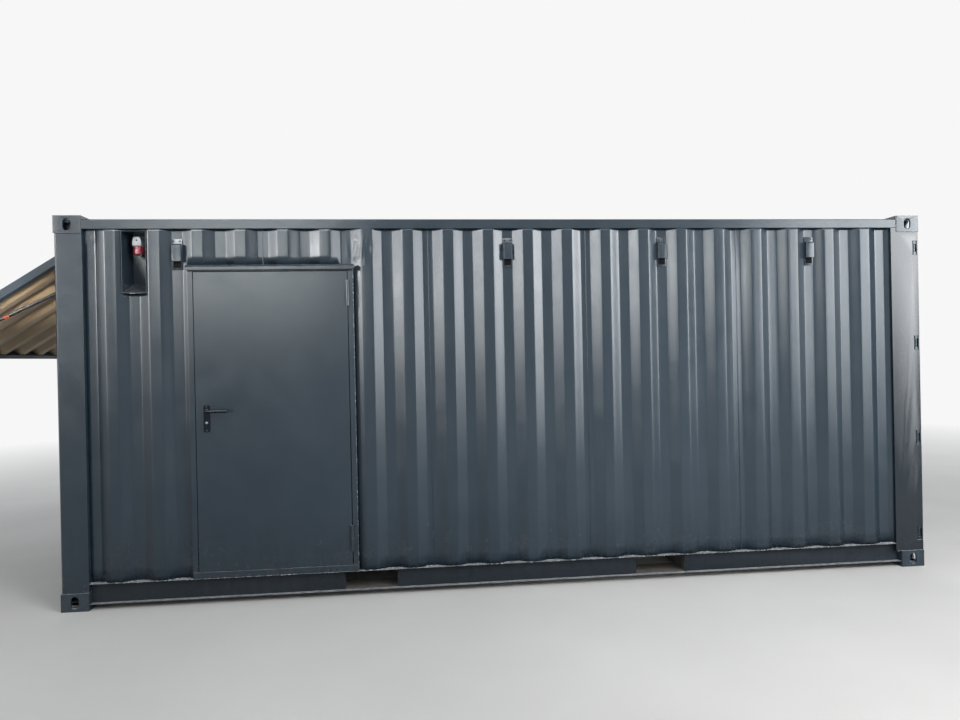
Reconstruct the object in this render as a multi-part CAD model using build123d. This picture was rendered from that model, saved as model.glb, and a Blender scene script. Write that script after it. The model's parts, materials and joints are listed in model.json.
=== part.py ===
"""Twenty-foot steel container turned into a bar.

Units are millimetres. The origin is on the ground under the middle of the
container: +X runs along the long side to the cargo doors, +Y to the back and +Z up.
The personnel door is in the front side, and the serving hatch is the left end,
held up on two gas struts.
"""
import os
from math import atan2, cos, degrees, hypot, radians, sin

from build123d import *

# Overall frame
length = 6058.0
width = 2438.0
height = 2591.0
skin_setback = 4.0  # walls and posts lie this far inside the corner castings
skin = 2.0
over = 1.0  # cutters run past a face by this much
slot_cut = 2.4  # slot cutters reach this many wall thicknesses

# Corner castings
casting_length = 178.0
casting_width = 162.0
casting_height = 118.0
casting_plate = 28.5  # top and bottom plates
casting_wall = 14.0
top_slot_length = 124.5
top_slot_width = 63.5
side_slot_width = 51.0
side_slot_height = 80.0
end_slot_width = 64.0
end_slot_height = 80.0
casting_corner = 6.0

# Corrugated long sides
outer_flat_width = 72.0
inner_flat_width = 70.0
slope_width = 68.0
rib_depth = 36.0
rib_offset = 36.0  # the rib nearest the middle lies this far to the left

# Corrugated left end and its hatch
end_outer_width = 110.0
end_inner_width = 104.0
end_slope_width = 18.0
end_rib_depth = 45.0

# Corner posts
post_plate = 6.0
left_post_chamfer = 12.0
right_post_width = 214.0
post_side_return = 40.0
post_inner_depth = 60.0
post_inner_from = 40.0
post_inner_width = 113.0
post_inner_plate = 10.0
low_hinge_height = 244.0
top_hinge_drop = 237.0
hinge_shares = (0.0, 0.3355, 0.6673, 1.0)
hinge_slot_width = 46.0
hinge_slot_height = 102.0

# Rails
bottom_rail_base = 38.0
bottom_rail_top = 175.0
bottom_rail_flange = 40.0
bottom_rail_plate = 5.0
top_rail_size = 60.0
top_rail_wall = 4.0
top_rail_drop = 28.0
end_sill_depth = 60.0

# Floor
floor_thickness = 28.0
floor_top = 192.0
crossmember_height = 122.0
crossmember_flange = 45.0
crossmember_plate = 4.0
crossmember_pitch = 300.0
pocket_centre = 1025.0
pocket_width = 360.0
pocket_height = 116.0
pocket_plate = 5.0
pocket_strap = 200.0

# Roof
roof_rib_pitch = 209.0
roof_rib_depth = 20.0
roof_rib_width = 90.0
roof_slope_width = 26.0
roof_end_flat = 60.0

# Personnel door
door_from_end = 839.0
door_frame_width = 1085.0
door_frame_drop = 339.0
door_frame_bar = 34.0
door_threshold_height = 43.0
door_frame_proud = 5.0
door_gap = 5.0
leaf_thickness = 50.0
leaf_proud = 2.0
leaf_skin = 2.0
stop_width = 14.0
stop_depth = 12.0
drip_height = 34.0
drip_reach = 26.0
drip_plate = 3.0
drip_lap = 24.0
drip_overhang = 8.0
door_knuckle_radius = 11.5
door_knuckle_length = 88.0
low_knuckle_rise = 181.0
high_knuckle_drop = 149.0
door_pin_radius = 6.0
door_knuckle_gap = 1.0
knuckle_tongue = 4.0
knuckle_cap = 12.0
pin_end_gap = 2.0
pin_clearance = 0.4

# Door handle
handle_from_edge = 71.0
handle_height = 1289.0
handle_plate_width = 40.0
handle_plate_height = 180.0
handle_plate_thickness = 8.0
handle_plate_corner = 12.0
handle_plate_drop = 50.0
lever_radius = 10.0
lever_bend = 20.0
lever_tip_radius = 8.0
lever_length = 140.0
lever_reach = 48.0
spindle_radius = 5.0
spindle_hole_radius = 9.0
neck_seat = 4.0
lock_radius = 8.5
lock_proud = 4.0
lock_drop = 77.0

# Vents
vent_width = 66.0
vent_drop = 249.0
vent_hood_height = 104.0
vent_mouth_height = 42.0
vent_flange = 34.0
vent_plate = 2.0
vent_slope = 20.0
vent_side = 9.0
vent_bays = (-8, 0, 4, 8)

# Power inlet niche
niche_from_end = 423.0
niche_width = 157.0
niche_height = 410.0
niche_drop = 101.0
niche_depth = 200.0
niche_back_rise = 76.0
niche_plate = 3.0
inlet_width = 62.0
inlet_height = 64.0
inlet_depth = 140.0
inlet_drop = 24.0
collar_radius = 35.0
collar_bore = 27.0
collar_height = 54.0
collar_floor = 12.0
collar_front_gap = 2.0
inlet_corner = 6.0

# Serving hatch
hatch_open_angle = 57.5
hatch_axis_drop = 186.0
hatch_axis_inset = 17.0
hatch_head = 25.0
hatch_length = 1270.0
hatch_tube = 52.0
tube_wall = 3.0
hatch_side_gap = 7.0
hatch_frame_gap = 10.0
jamb_width = 58.0
jamb_depth = 50.0
counter_drop = 1219.0
counter_height = 68.0
lintel_rise = 18.0
header_drop = 35.0
header_height = 60.0
ledge_plate = 8.0
hatch_knuckle_radius = 13.0
hatch_knuckle_length = 55.0
hatch_pin_radius = 6.0
hatch_knuckle_inset = 290.0
hinge_leaf_plate = 6.0

# Gas struts
strut_inset = 75.0
strut_fixed_drop = 209.0
strut_fixed_inset = 72.0
strut_hatch_reach = 1100.0
strut_hatch_drop = 88.0
strut_tube_radius = 12.0
strut_tube_bore = 9.0
strut_tube_length = 800.0
strut_rod_radius = 5.0
strut_rod_length = 300.0
strut_eye_radius = 14.0
strut_eye_width = 12.0
strut_pin_radius = 5.0
strut_stud_gap = 2.0
strut_eye_sink = 4.0
strut_piston_length = 24.0
bracket_plate = 6.0
bracket_foot = 5.0
bracket_clearance = 10.0
seat_gap = 0.3
bracket_half = 20.0
strut_gland = 15.0

# Cargo doors
cargo_gap = 6.0
cargo_setback = 36.0
frame_end_height = 20.0
cargo_tube = 50.0
gasket_inset = 12.0
gasket_depth = 24.0
gasket_gap = 0.1
cargo_hinge_height = 60.0
cargo_blade = 8.0
cargo_blade_reach = 75.0
cargo_barrel_out = 14.0
cargo_barrel_in = 20.0
cargo_barrel_radius = 13.0
cargo_pin_radius = 7.0
cargo_lug_gap = 1.0
cargo_lug_height = 10.0
cargo_lug_half = 10.0
keeper_width = 76.0
guide_shares = (0.27, 0.54, 0.772)
cargo_rib_depth = 36.0
cargo_rib_width = 90.0
cargo_slope_width = 40.0
cargo_ribs = 4
lock_bar_radius = 17.0
lock_bar_inner = 250.0
lock_bar_inset = 319.0
lock_bar_gap = 1.5
guide_height = 40.0
keeper_height = 44.0
keeper_wall = 2.0
keeper_play = 0.5
cargo_handle_height = 1050.0
cargo_handle_length = 470.0
cargo_handle_width = 24.0
cargo_handle_plate = 12.0
cargo_handle_step = 180.0

# Worked-out planes and heights
half_length = length / 2
half_width = width / 2
left_face = -half_length + skin_setback
right_face = half_length - skin_setback
front_face = -half_width + skin_setback
end_inner_y = half_width - casting_width
top_rail_top = height - top_rail_drop
top_rail_base = top_rail_top - top_rail_size
pitch = outer_flat_width + inner_flat_width + 2 * slope_width
inner_flat_centre = -rib_offset
rail_reach = half_length - casting_length
left_post_edge = -half_length + casting_length
right_post_edge = right_face - right_post_width
hatch_axis_height = height - hatch_axis_drop
hatch_axis = (-half_length + hatch_axis_inset, hatch_axis_height)
hatch_half = end_inner_y - hatch_side_gap
hatch_knuckle_side = hatch_half - hatch_knuckle_inset
strut_side = hatch_half - strut_inset
lintel_base = hatch_axis_height + lintel_rise
header_base = hatch_axis_height - header_drop
counter_top = hatch_axis_height - counter_drop
counter_base = counter_top - counter_height
jamb_front = hatch_axis[0] + hatch_tube + hatch_frame_gap
cargo_face = right_face - cargo_setback
cargo_header_base = height - casting_height - frame_end_height
hinge_span = height - top_hinge_drop - low_hinge_height
hinge_heights = [low_hinge_height + share * hinge_span for share in hinge_shares]
web_inside = half_width - skin_setback - bottom_rail_flange
floor_left = left_face + end_sill_depth
floor_right = cargo_face - end_sill_depth
crossmember_top = floor_top - floor_thickness
pocket_base = crossmember_top - pocket_plate - pocket_height
door_frame_left = -half_length + door_from_end
door_frame_right = door_frame_left + door_frame_width
door_frame_top = height - door_frame_drop
drip_base = door_frame_top - drip_lap
niche_left = -half_length + niche_from_end
niche_right = niche_left + niche_width
niche_top = height - niche_drop
niche_base = niche_top - niche_height
vent_centre_height = height - vent_drop
leaf_left = door_frame_left + door_frame_bar + door_gap
leaf_right = door_frame_right - door_frame_bar - door_gap
leaf_base = bottom_rail_top + door_threshold_height + door_gap
leaf_top = door_frame_top - door_frame_bar - door_gap
door_knuckle_heights = (leaf_base + low_knuckle_rise, leaf_top - high_knuckle_drop)
frame_face = front_face - door_frame_proud
leaf_face = frame_face - leaf_proud
door_axis = (leaf_right + door_gap / 2, leaf_face - door_knuckle_radius - door_knuckle_gap)
handle_x = leaf_left + handle_from_edge
stop_face = leaf_face + leaf_thickness + door_gap
frame_back = stop_face + stop_depth


def block(x0, x1, y0, y1, z0, z1):
    return Pos((x0 + x1) / 2, (y0 + y1) / 2, (z0 + z1) / 2) * Box(x1 - x0, y1 - y0, z1 - z0)


def outline_face(points):
    """A face from corner points, which may run either way round."""
    pairs = zip(points, points[1:] + points[:1])
    area = sum(a[0] * b[1] - b[0] * a[1] for a, b in pairs)
    return Polygon(*(points if area > 0 else points[::-1]), align=None)


def prism_x(points, x0, x1):
    """A (y, z) outline run from x0 to x1."""
    return extrude(Plane.YZ.offset(x0) * outline_face(points), amount=x1 - x0)


def prism_y(points, y0, y1):
    """An (x, z) outline run from y0 to y1."""
    return extrude(Plane.XZ.offset(-y1) * outline_face(points), amount=y1 - y0)


def prism_z(points, z0, z1):
    """An (x, y) outline run from z0 to z1."""
    return extrude(Plane.XY.offset(z0) * outline_face(points), amount=z1 - z0)


def rod(start, end, radius):
    """A round bar from one point to another."""
    along = Vector(*end) - Vector(*start)
    return extrude(Plane(origin=start, z_dir=along) * Circle(radius), amount=along.length)


def mirrored(solid):
    """The same piece on the other side of the container's long middle plane."""
    return solid.mirror(Plane.XZ)


def group(*pieces):
    return Compound(children=[solid for piece in pieces for solid in piece.solids()])


def strip(line, thickness):
    """Outline of sheet metal lying to the left of a line of points."""
    steps = [(b[0] - a[0], b[1] - a[1]) for a, b in zip(line, line[1:])]
    normals = [(-dy / hypot(dx, dy), dx / hypot(dx, dy)) for dx, dy in steps]
    before = [normals[0]] + normals
    after = normals + [normals[-1]]
    inner = []
    for (px, py), (ax, ay), (bx, by) in zip(line, before, after):
        share = thickness / (1 + ax * bx + ay * by)
        inner.append((px + (ax + bx) * share, py + (ay + by) * share))
    return line + inner[::-1]


def rib_line(start, end, centre, top, bottom, slope, depth):
    """Corrugation from start to end: pairs of (place along, depth below the outer flats).

    centre is the middle of one inner flat.
    """
    step = top + bottom + 2 * slope
    first = int((start - centre) // step) - 1
    last = int((end - centre) // step) + 1
    corners = []
    for index in range(first, last + 1):
        middle = centre + index * step
        corners += [(middle - bottom / 2, depth), (middle + bottom / 2, depth)]
        corners += [(middle + bottom / 2 + slope, 0.0), (middle + step - bottom / 2 - slope, 0.0)]
    inside = [corner for corner in corners if start < corner[0] < end]
    return [(start, depth_at(corners, start))] + inside + [(end, depth_at(corners, end))]


def depth_at(corners, place):
    for (a, deep_a), (b, deep_b) in zip(corners, corners[1:]):
        if a <= place <= b:
            return deep_a + (deep_b - deep_a) * (place - a) / (b - a)
    raise ValueError("place lies outside the corrugation")


def square_strip(line, thickness):
    """As strip, for a corrugation: both ends are cut square to the wall."""
    outline = strip(line, thickness)
    outline[len(line)] = (line[-1][0], outline[len(line)][1])
    outline[-1] = (line[0][0], outline[-1][1])
    return outline


def side_wall(x0, x1, z0, z1):
    """A piece of the front side's corrugated sheet."""
    line = rib_line(x0, x1, inner_flat_centre, outer_flat_width, inner_flat_width, slope_width, rib_depth)
    points = square_strip([(x, front_face + deep) for x, deep in line], skin)
    return prism_z(points, z0, z1)


def oblong(reach, across, depth):
    """An oblong cutter standing on the XY plane's middle, its long way along X."""
    return extrude(SlotOverall(reach, across), amount=depth / 2, both=True)


def corner_casting(upper):
    """The casting at the left front corner."""
    x0 = -half_length
    y0 = -half_width
    z0 = height - casting_height if upper else 0.0
    x1 = x0 + casting_length
    y1 = y0 + casting_width
    z1 = z0 + casting_height
    body = fillet(block(x0, x1, y0, y1, z0, z1).edges().filter_by(Axis.Z), casting_corner)
    hollow = block(
        x0 + casting_wall,
        x1 - casting_wall,
        y0 + casting_wall,
        y1 - casting_wall,
        z0 + casting_wall if upper else z0 + casting_plate,
        z1 - casting_plate if upper else z1 - casting_wall,
    )
    middle = ((x0 + x1) / 2, (y0 + y1) / 2, (z0 + z1) / 2)
    face_z = z1 if upper else z0
    top_slot = oblong(top_slot_length, top_slot_width, slot_cut * casting_plate)
    top_slot = Pos(middle[0], middle[1], face_z) * top_slot
    cut = slot_cut * casting_wall
    side_slot = Rot(90, 0, 0) * Rot(0, 0, 90) * oblong(side_slot_height, side_slot_width, cut)
    side_slot = Pos(middle[0], y0, middle[2]) * side_slot
    end_slot = Pos(x0, middle[1], middle[2]) * Rot(0, 90, 0) * oblong(end_slot_height, end_slot_width, cut)
    return body - hollow - top_slot - side_slot - end_slot


def castings(upper):
    left = corner_casting(upper)
    right = left.mirror(Plane.YZ)
    return group(left, right, mirrored(left), mirrored(right))


def left_post():
    """Pressed corner post at the hatch end, open towards the inside."""
    line = [
        (jamb_front, -end_inner_y),
        (left_face, -end_inner_y),
        (left_face, front_face + left_post_chamfer),
        (left_face + left_post_chamfer, front_face),
        (left_post_edge, front_face),
        (left_post_edge, front_face + post_side_return),
    ]
    return prism_z(strip(line, post_plate), casting_height, height - casting_height)


def right_post():
    """Pressed outer post with a rolled channel inside, cut out for the door hinges."""
    outer = [
        (right_post_edge, front_face + post_side_return),
        (right_post_edge, front_face),
        (right_face, front_face),
        (right_face, front_face + post_inner_depth),
    ]
    outer = prism_z(strip(outer, post_plate), casting_height, top_rail_base)
    channel_right = right_face - post_inner_from
    channel_left = channel_right - post_inner_width
    back = front_face + post_inner_depth
    inner = [
        (channel_left, front_face + post_plate / 2),
        (channel_left, back),
        (channel_right, back),
        (channel_right, front_face + post_plate / 2),
    ]
    inner = prism_z(strip(inner, -post_inner_plate), casting_height, height - casting_height)
    for middle in hinge_heights:
        outer -= block(
            right_face - hinge_slot_width,
            right_face + over,
            front_face - over,
            front_face + post_inner_depth + over,
            middle - hinge_slot_height / 2,
            middle + hinge_slot_height / 2,
        )
    beyond = block(rail_reach, half_length + over, -half_width, 0, height - casting_height, height)
    return outer + inner - beyond


def pocket_edges():
    """The two sides of each fork pocket, along the container."""
    half = pocket_width / 2
    return [(side * pocket_centre - half, side * pocket_centre + half) for side in (-1, 1)]


def bottom_rail():
    """Channel under the front side, flanges outward: one length beside each fork pocket."""
    web = -web_inside
    line = [
        (front_face, bottom_rail_base),
        (web, bottom_rail_base),
        (web, bottom_rail_top),
        (front_face, bottom_rail_top),
    ]
    section = strip(line, bottom_rail_plate)
    (left, middle_left), (middle_right, right) = pocket_edges()
    last = prism_x(section, right, rail_reach)
    last -= block(right_post_edge, half_length, -half_width, 0, casting_height, bottom_rail_top + over)
    return group(
        prism_x(section, -rail_reach, left),
        prism_x(section, middle_left, middle_right),
        last,
    )


def rail_bridges():
    """The channel's edges that run on over and under each fork pocket's mouth."""
    web = -web_inside
    upper = [
        (web, pocket_base + pocket_height),
        (web, bottom_rail_top),
        (front_face, bottom_rail_top),
    ]
    pieces = []
    for x0, x1 in pocket_edges():
        pieces.append(prism_x(strip(upper, bottom_rail_plate), x0, x1))
        pieces.append(block(x0, x1, front_face, web, bottom_rail_base, pocket_base))
    return group(*pieces)


def tube_x(x0, x1, y0, y1, z0, z1, wall):
    hollow = block(x0 - over, x1 + over, y0 + wall, y1 - wall, z0 + wall, z1 - wall)
    return block(x0, x1, y0, y1, z0, z1) - hollow


def tube_y(x0, x1, y0, y1, z0, z1, wall):
    hollow = block(x0 + wall, x1 - wall, y0 - over, y1 + over, z0 + wall, z1 - wall)
    return block(x0, x1, y0, y1, z0, z1) - hollow


def tube_z(x0, x1, y0, y1, z0, z1, wall):
    hollow = block(x0 + wall, x1 - wall, y0 + wall, y1 - wall, z0 - over, z1 + over)
    return block(x0, x1, y0, y1, z0, z1) - hollow


def top_rail():
    y1 = front_face + top_rail_size
    return tube_x(-rail_reach, rail_reach, front_face, y1, top_rail_base, top_rail_top, top_rail_wall)


def left_sill():
    x1 = left_face + end_sill_depth
    y = end_inner_y
    return tube_y(left_face, x1, -y, y, bottom_rail_base, bottom_rail_top, top_rail_wall)


def left_header():
    x1 = left_face + top_rail_size
    y = end_inner_y
    return tube_y(left_face, x1, -y, y, top_rail_base, top_rail_top, top_rail_wall)


def cargo_sill():
    x0 = cargo_face - end_sill_depth
    y = end_inner_y
    return tube_y(x0, cargo_face, -y, y, bottom_rail_base, bottom_rail_top, top_rail_wall)


def cargo_header():
    x0 = cargo_face - top_rail_size
    y = end_inner_y
    return tube_y(x0, cargo_face, -y, y, cargo_header_base, top_rail_top, top_rail_wall)


def cargo_frame_ends():
    """Blocks that carry the sill and the header over the castings to the posts."""
    reach = -front_face - post_inner_depth
    levels = (
        (cargo_face - end_sill_depth, casting_height, bottom_rail_top),
        (cargo_face - top_rail_size, cargo_header_base, height - casting_height),
    )
    pieces = []
    for x0, z0, z1 in levels:
        for y0, y1 in ((-reach, -end_inner_y), (end_inner_y, reach)):
            pieces.append(block(x0, cargo_face, y0, y1, z0, z1))
    return group(*pieces)


def pocket_roofs():
    """The plate over each fork pocket, out to the outer faces of its sides."""
    top = crossmember_top
    reach = web_inside
    return group(
        *[
            block(x0 - pocket_plate, x1 + pocket_plate, -reach, reach, top - pocket_plate, top)
            for x0, x1 in pocket_edges()
        ]
    )


def pocket_sides():
    """The upright plates of both fork pockets, from the straps' level to the roof plate."""
    pieces = []
    for x0, x1 in pocket_edges():
        for left, right in ((x0 - pocket_plate, x0), (x1, x1 + pocket_plate)):
            top = crossmember_top - pocket_plate
            pieces.append(block(left, right, -web_inside, web_inside, bottom_rail_base, top))
    return group(*pieces)


def pocket_straps():
    """The plate under each mouth, between the pocket's sides."""
    pieces = []
    for x0, x1 in pocket_edges():
        for strap_y in (-web_inside, web_inside - pocket_strap):
            pieces.append(block(x0, x1, strap_y, strap_y + pocket_strap, bottom_rail_base, pocket_base))
    return group(*pieces)


def crossmembers():
    """Channels across the floor, clear of the fork pockets."""
    base = crossmember_top - crossmember_height
    pieces = []
    count = int((2 * rail_reach - crossmember_flange) // crossmember_pitch)
    start = -count * crossmember_pitch / 2
    for index in range(count + 1):
        x = start + index * crossmember_pitch
        x0 = x - crossmember_flange / 2
        x1 = x + crossmember_flange / 2
        reach = pocket_width / 2 + pocket_plate + crossmember_flange
        if any(abs(x - side * pocket_centre) < reach for side in (-1, 1)):
            continue
        line = [(x1, base), (x0, base), (x0, crossmember_top), (x1, crossmember_top)]
        pieces.append(prism_y(strip(line, -crossmember_plate), -web_inside, web_inside))
    return group(*pieces)


def floor_boards():
    """Plywood floor, notched at the four corner posts."""
    boards = block(floor_left, floor_right, -web_inside, web_inside, crossmember_top, floor_top)
    for x0, x1 in ((-half_length, left_post_edge), (right_post_edge - skin_setback, half_length)):
        for y0, y1 in ((-half_width, -end_inner_y), (end_inner_y, half_width)):
            boards -= block(x0, x1, y0, y1, crossmember_top - over, floor_top + over)
    doorway = (door_frame_left, door_frame_right, -half_width, frame_back)
    return boards - block(*doorway, bottom_rail_top, floor_top + over)


def roof_panel():
    """Die-stamped sheet between the castings: ribs across, with a flat edge at both ends."""
    edge = rail_reach - roof_end_flat
    low = top_rail_top + skin
    gap = roof_rib_pitch - roof_rib_width - 2 * roof_slope_width
    line = rib_line(-edge, edge, 0.0, roof_rib_width, gap, roof_slope_width, roof_rib_depth)
    points = [(x, low + roof_rib_depth - deep) for x, deep in line if -edge < x < edge]
    points = [(-rail_reach, low), (-edge, low)] + points + [(edge, low), (rail_reach, low)]
    return prism_y(strip(points, -skin), front_face, -front_face)


def roof_ends():
    """Flat sheet between the castings, on the header at each end."""
    y = end_inner_y
    return group(
        block(left_face, -rail_reach, -y, y, top_rail_top, top_rail_top + skin),
        block(rail_reach, cargo_face, -y, y, top_rail_top, top_rail_top + skin),
    )


def front_wall_left():
    wall = side_wall(left_post_edge, door_frame_left, bottom_rail_top, top_rail_base)
    behind = front_face + 2 * rib_depth
    return wall - block(niche_left, niche_right, front_face - over, behind, niche_base, niche_top)


def end_wall_lower():
    """Corrugated sheet under the counter at the left end."""
    y = end_inner_y
    line = rib_line(-y, y, 0.0, end_outer_width, end_inner_width, end_slope_width, end_rib_depth)
    points = square_strip([(y, deep) for y, deep in line], skin)
    return prism_z([(left_face + deep, y) for y, deep in points], bottom_rail_top, counter_base)


def vent(x):
    """Pressed hood over a louvre, open at the bottom, on its own flange plate."""
    back = front_face + rib_depth
    top = vent_centre_height + vent_hood_height / 2
    mouth = vent_centre_height - vent_hood_height / 2
    x0 = x - vent_width / 2
    x1 = x + vent_width / 2
    outline = [(back, top), (front_face, top - vent_slope), (front_face, mouth), (back, mouth)]
    cavity = [
        (back + over, top - 2 * vent_plate),
        (front_face + vent_plate, top - vent_slope - vent_plate),
        (front_face + vent_plate, mouth - over),
        (back + over, mouth - over),
    ]
    foot = mouth - vent_mouth_height - vent_flange / 2
    plate = block(x0, x1, back - vent_plate, back, foot, top + vent_flange)
    plate -= block(
        x0 + vent_side,
        x1 - vent_side,
        back - vent_plate - over,
        back + over,
        mouth - vent_mouth_height,
        top - vent_slope,
    )
    hood = prism_x(outline, x0, x1) - prism_x(cavity, x0 + vent_plate, x1 - vent_plate)
    return plate + hood


def vents():
    return [vent(inner_flat_centre + index * pitch) for index in vent_bays]


def inlet_niche():
    """Folded box let into the wall, its bottom sloping out to shed rain."""
    back = front_face + niche_depth
    outer = [
        (front_face, niche_base),
        (back, niche_base + niche_back_rise),
        (back, niche_top),
        (front_face, niche_top),
    ]
    inner = [
        (front_face - over, niche_base + niche_plate),
        (front_face, niche_base + niche_plate),
        (back - niche_plate, niche_base + niche_back_rise + niche_plate),
        (back - niche_plate, niche_top - niche_plate),
        (front_face - over, niche_top - niche_plate),
    ]
    shell = prism_x(outer, niche_left, niche_right)
    return shell - prism_x(inner, niche_left + niche_plate, niche_right - niche_plate)


niche_middle = (niche_left + niche_right) / 2
inlet_top = niche_top - niche_plate - inlet_drop
inlet_back = front_face + niche_depth - niche_plate
inlet_front = inlet_back - inlet_depth


def inlet_housing():
    x0 = niche_middle - inlet_width / 2
    x1 = niche_middle + inlet_width / 2
    body = block(x0, x1, inlet_front, inlet_back, inlet_top - inlet_height, inlet_top)
    return fillet(body.edges().filter_by(Axis.Y), inlet_corner)


def inlet_collar():
    """Round collar that opens downward, for the supply plug."""
    seat = (niche_middle, inlet_front + collar_radius + collar_front_gap, inlet_top - inlet_height)
    bore = Pos(0, 0, -collar_floor) * Cylinder(collar_bore, collar_height)
    ring = Cylinder(collar_radius, collar_height) - bore
    return Pos(*seat) * Pos(0, 0, -collar_height / 2) * ring


def door_jambs():
    """Two upright frame bars, each with the stop that the leaf closes against."""
    pieces = []
    z1 = door_frame_top - door_frame_bar
    z0 = bottom_rail_top + door_threshold_height
    for x0, x1, stop in (
        (door_frame_left, door_frame_left + door_frame_bar, stop_width),
        (door_frame_right - door_frame_bar, door_frame_right, -stop_width),
    ):
        bar = block(x0, x1, frame_face, frame_back, z0, z1)
        s0, s1 = (x1, x1 + stop) if stop > 0 else (x0 + stop, x0)
        pieces.append(bar + block(s0, s1, stop_face, frame_back, z0, z1))
    return group(*pieces)


def door_head():
    base = door_frame_top - door_frame_bar
    bar = block(door_frame_left, door_frame_right, frame_face, frame_back, base, door_frame_top)
    x0 = door_frame_left + door_frame_bar + stop_width
    x1 = door_frame_right - door_frame_bar - stop_width
    return bar + block(x0, x1, stop_face, frame_back, base - stop_width, base)


def door_threshold():
    top = bottom_rail_top + door_threshold_height
    bar = block(door_frame_left, door_frame_right, frame_face, frame_back, bottom_rail_top, top)
    x0 = door_frame_left + door_frame_bar + stop_width
    x1 = door_frame_right - door_frame_bar - stop_width
    return bar + block(x0, x1, stop_face, frame_back, top, top + stop_width)


def drip_cap():
    """Bent rain lip over the door."""
    lip = frame_face - drip_reach
    line = [
        (frame_face, drip_base),
        (frame_face, drip_base + drip_height),
        (lip, drip_base + drip_height / 2),
        (lip, drip_base - drip_plate),
    ]
    x0 = door_frame_left - drip_overhang
    return prism_x(strip(line, drip_plate), x0, door_frame_right + drip_overhang)


def door_knuckles(upper):
    """Weld-on barrels: the lower ones carry the pins and the upper ones turn on them."""
    pieces = []
    x, y = door_axis
    tongue_end = door_knuckle_radius + knuckle_tongue
    for middle in door_knuckle_heights:
        z0 = middle + seat_gap if upper else middle - door_knuckle_length
        z1 = z0 + door_knuckle_length - (seat_gap if upper else 0)
        barrel = rod((x, y, z0), (x, y, z1), door_knuckle_radius)
        if upper:
            tongue = block(x - tongue_end, x - door_gap / 2, y, leaf_face, z0, z1)
            top = middle + door_knuckle_length - knuckle_cap
            bore = rod((x, y, z0 - over), (x, y, top), door_pin_radius + pin_clearance)
            barrel = barrel + tongue - bore
        else:
            tongue = block(x + door_gap / 2, x + tongue_end, y, frame_face, z0, z1)
            top = middle + door_knuckle_length - knuckle_cap - pin_end_gap
            pin = rod((x, y, z0), (x, y, top), door_pin_radius)
            barrel = barrel + tongue + pin
        pieces.append(barrel)
    return group(*pieces)


def door_leaf():
    """Folded steel leaf, hollow, with the spindle hole through both skins."""
    back = leaf_face + leaf_thickness
    leaf = block(leaf_left, leaf_right, leaf_face, back, leaf_base, leaf_top)
    leaf -= block(
        leaf_left + leaf_skin,
        leaf_right - leaf_skin,
        leaf_face + leaf_skin,
        back - leaf_skin,
        leaf_base + leaf_skin,
        leaf_top - leaf_skin,
    )
    hole = rod(
        (handle_x, leaf_face - over, handle_height),
        (handle_x, back + over, handle_height),
        spindle_hole_radius,
    )
    return leaf - hole


def handle_plates():
    """A back plate and lock cylinder on each face of the leaf."""
    pieces = []
    middle = handle_height - handle_plate_drop
    outside = leaf_face - handle_plate_thickness
    inside = leaf_face + leaf_thickness + handle_plate_thickness
    for y0, y1, lock in (
        (outside, leaf_face, outside - lock_proud),
        (leaf_face + leaf_thickness, inside, inside + lock_proud),
    ):
        plate = block(
            handle_x - handle_plate_width / 2,
            handle_x + handle_plate_width / 2,
            y0,
            y1,
            middle - handle_plate_height / 2,
            middle + handle_plate_height / 2,
        )
        plate = fillet(plate.edges().filter_by(Axis.Y), handle_plate_corner)
        bore = ((handle_x, y0 - over, handle_height), (handle_x, y1 + over, handle_height))
        plate -= rod(*bore, lever_radius + pin_clearance)
        lock_z = handle_height - lock_drop
        pieces.append(plate + rod((handle_x, (y0 + y1) / 2, lock_z), (handle_x, lock, lock_z), lock_radius))
    return group(*pieces)


def door_lever():
    """Both levers on one spindle through the leaf."""
    out_y = leaf_face - handle_plate_thickness - lever_reach
    in_y = leaf_face + leaf_thickness + handle_plate_thickness + lever_reach
    near_out = leaf_face - neck_seat
    near_in = leaf_face + leaf_thickness + neck_seat
    z = handle_height
    piece = rod((handle_x, near_out, z), (handle_x, near_in, z), spindle_radius)
    tip_x = handle_x + lever_length + lever_radius
    for near, far in ((near_out, out_y), (near_in, in_y)):
        start = (handle_x, near, z)
        path = FilletPolyline(start, (handle_x, far, z), (tip_x, far, z), radius=lever_bend)
        arm = sweep(Plane(origin=start, z_dir=(0, far - near, 0)) * Circle(lever_radius), path=path)
        tip = arm.faces().sort_by(Axis.X)[-1]
        piece = piece + fillet(tip.edges(), lever_tip_radius)
    return piece


def hatch_jambs():
    """Uprights behind the hatch, with the studs that carry the gas struts."""
    pieces = []
    y0 = end_inner_y + post_plate - jamb_width
    y1 = end_inner_y + post_plate
    x1 = jamb_front + jamb_depth
    upright = tube_z(jamb_front, x1, y0, y1, counter_top, header_base, tube_wall)
    fx, fz = strut_fixed
    stud_end = strut_side - strut_eye_width / 2 - strut_stud_gap
    upright = upright + rod((fx, y0 + tube_wall, fz), (fx, stud_end, fz), strut_pin_radius)
    return group(upright, mirrored(upright))


def hatch_lintel():
    """Tube that carries the hinges, with the closing tube behind it."""
    x1 = jamb_front
    y = end_inner_y
    return tube_y(left_face, x1, -y, y, lintel_base, top_rail_base, tube_wall)


def hatch_header():
    y = end_inner_y + post_plate
    x1 = jamb_front + jamb_depth
    return tube_y(jamb_front, x1, -y, y, header_base, header_base + header_height, tube_wall)


def counter_rail():
    """Rail under the hatch opening, with a ledge out to the end wall."""
    x1 = jamb_front + jamb_depth
    y = end_inner_y + post_plate
    rail = tube_y(jamb_front, x1, -y, y, counter_base, counter_top, tube_wall)
    y = end_inner_y
    return rail + block(left_face, jamb_front, -y, y, counter_base, counter_base + ledge_plate)


def opened(piece):
    """A hatch piece, drawn closed, swung to the raised pose."""
    turned = Axis((hatch_axis[0], 0, hatch_axis[1]), (0, 1, 0))
    return piece.rotate(turned, hatch_open_angle)


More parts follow.
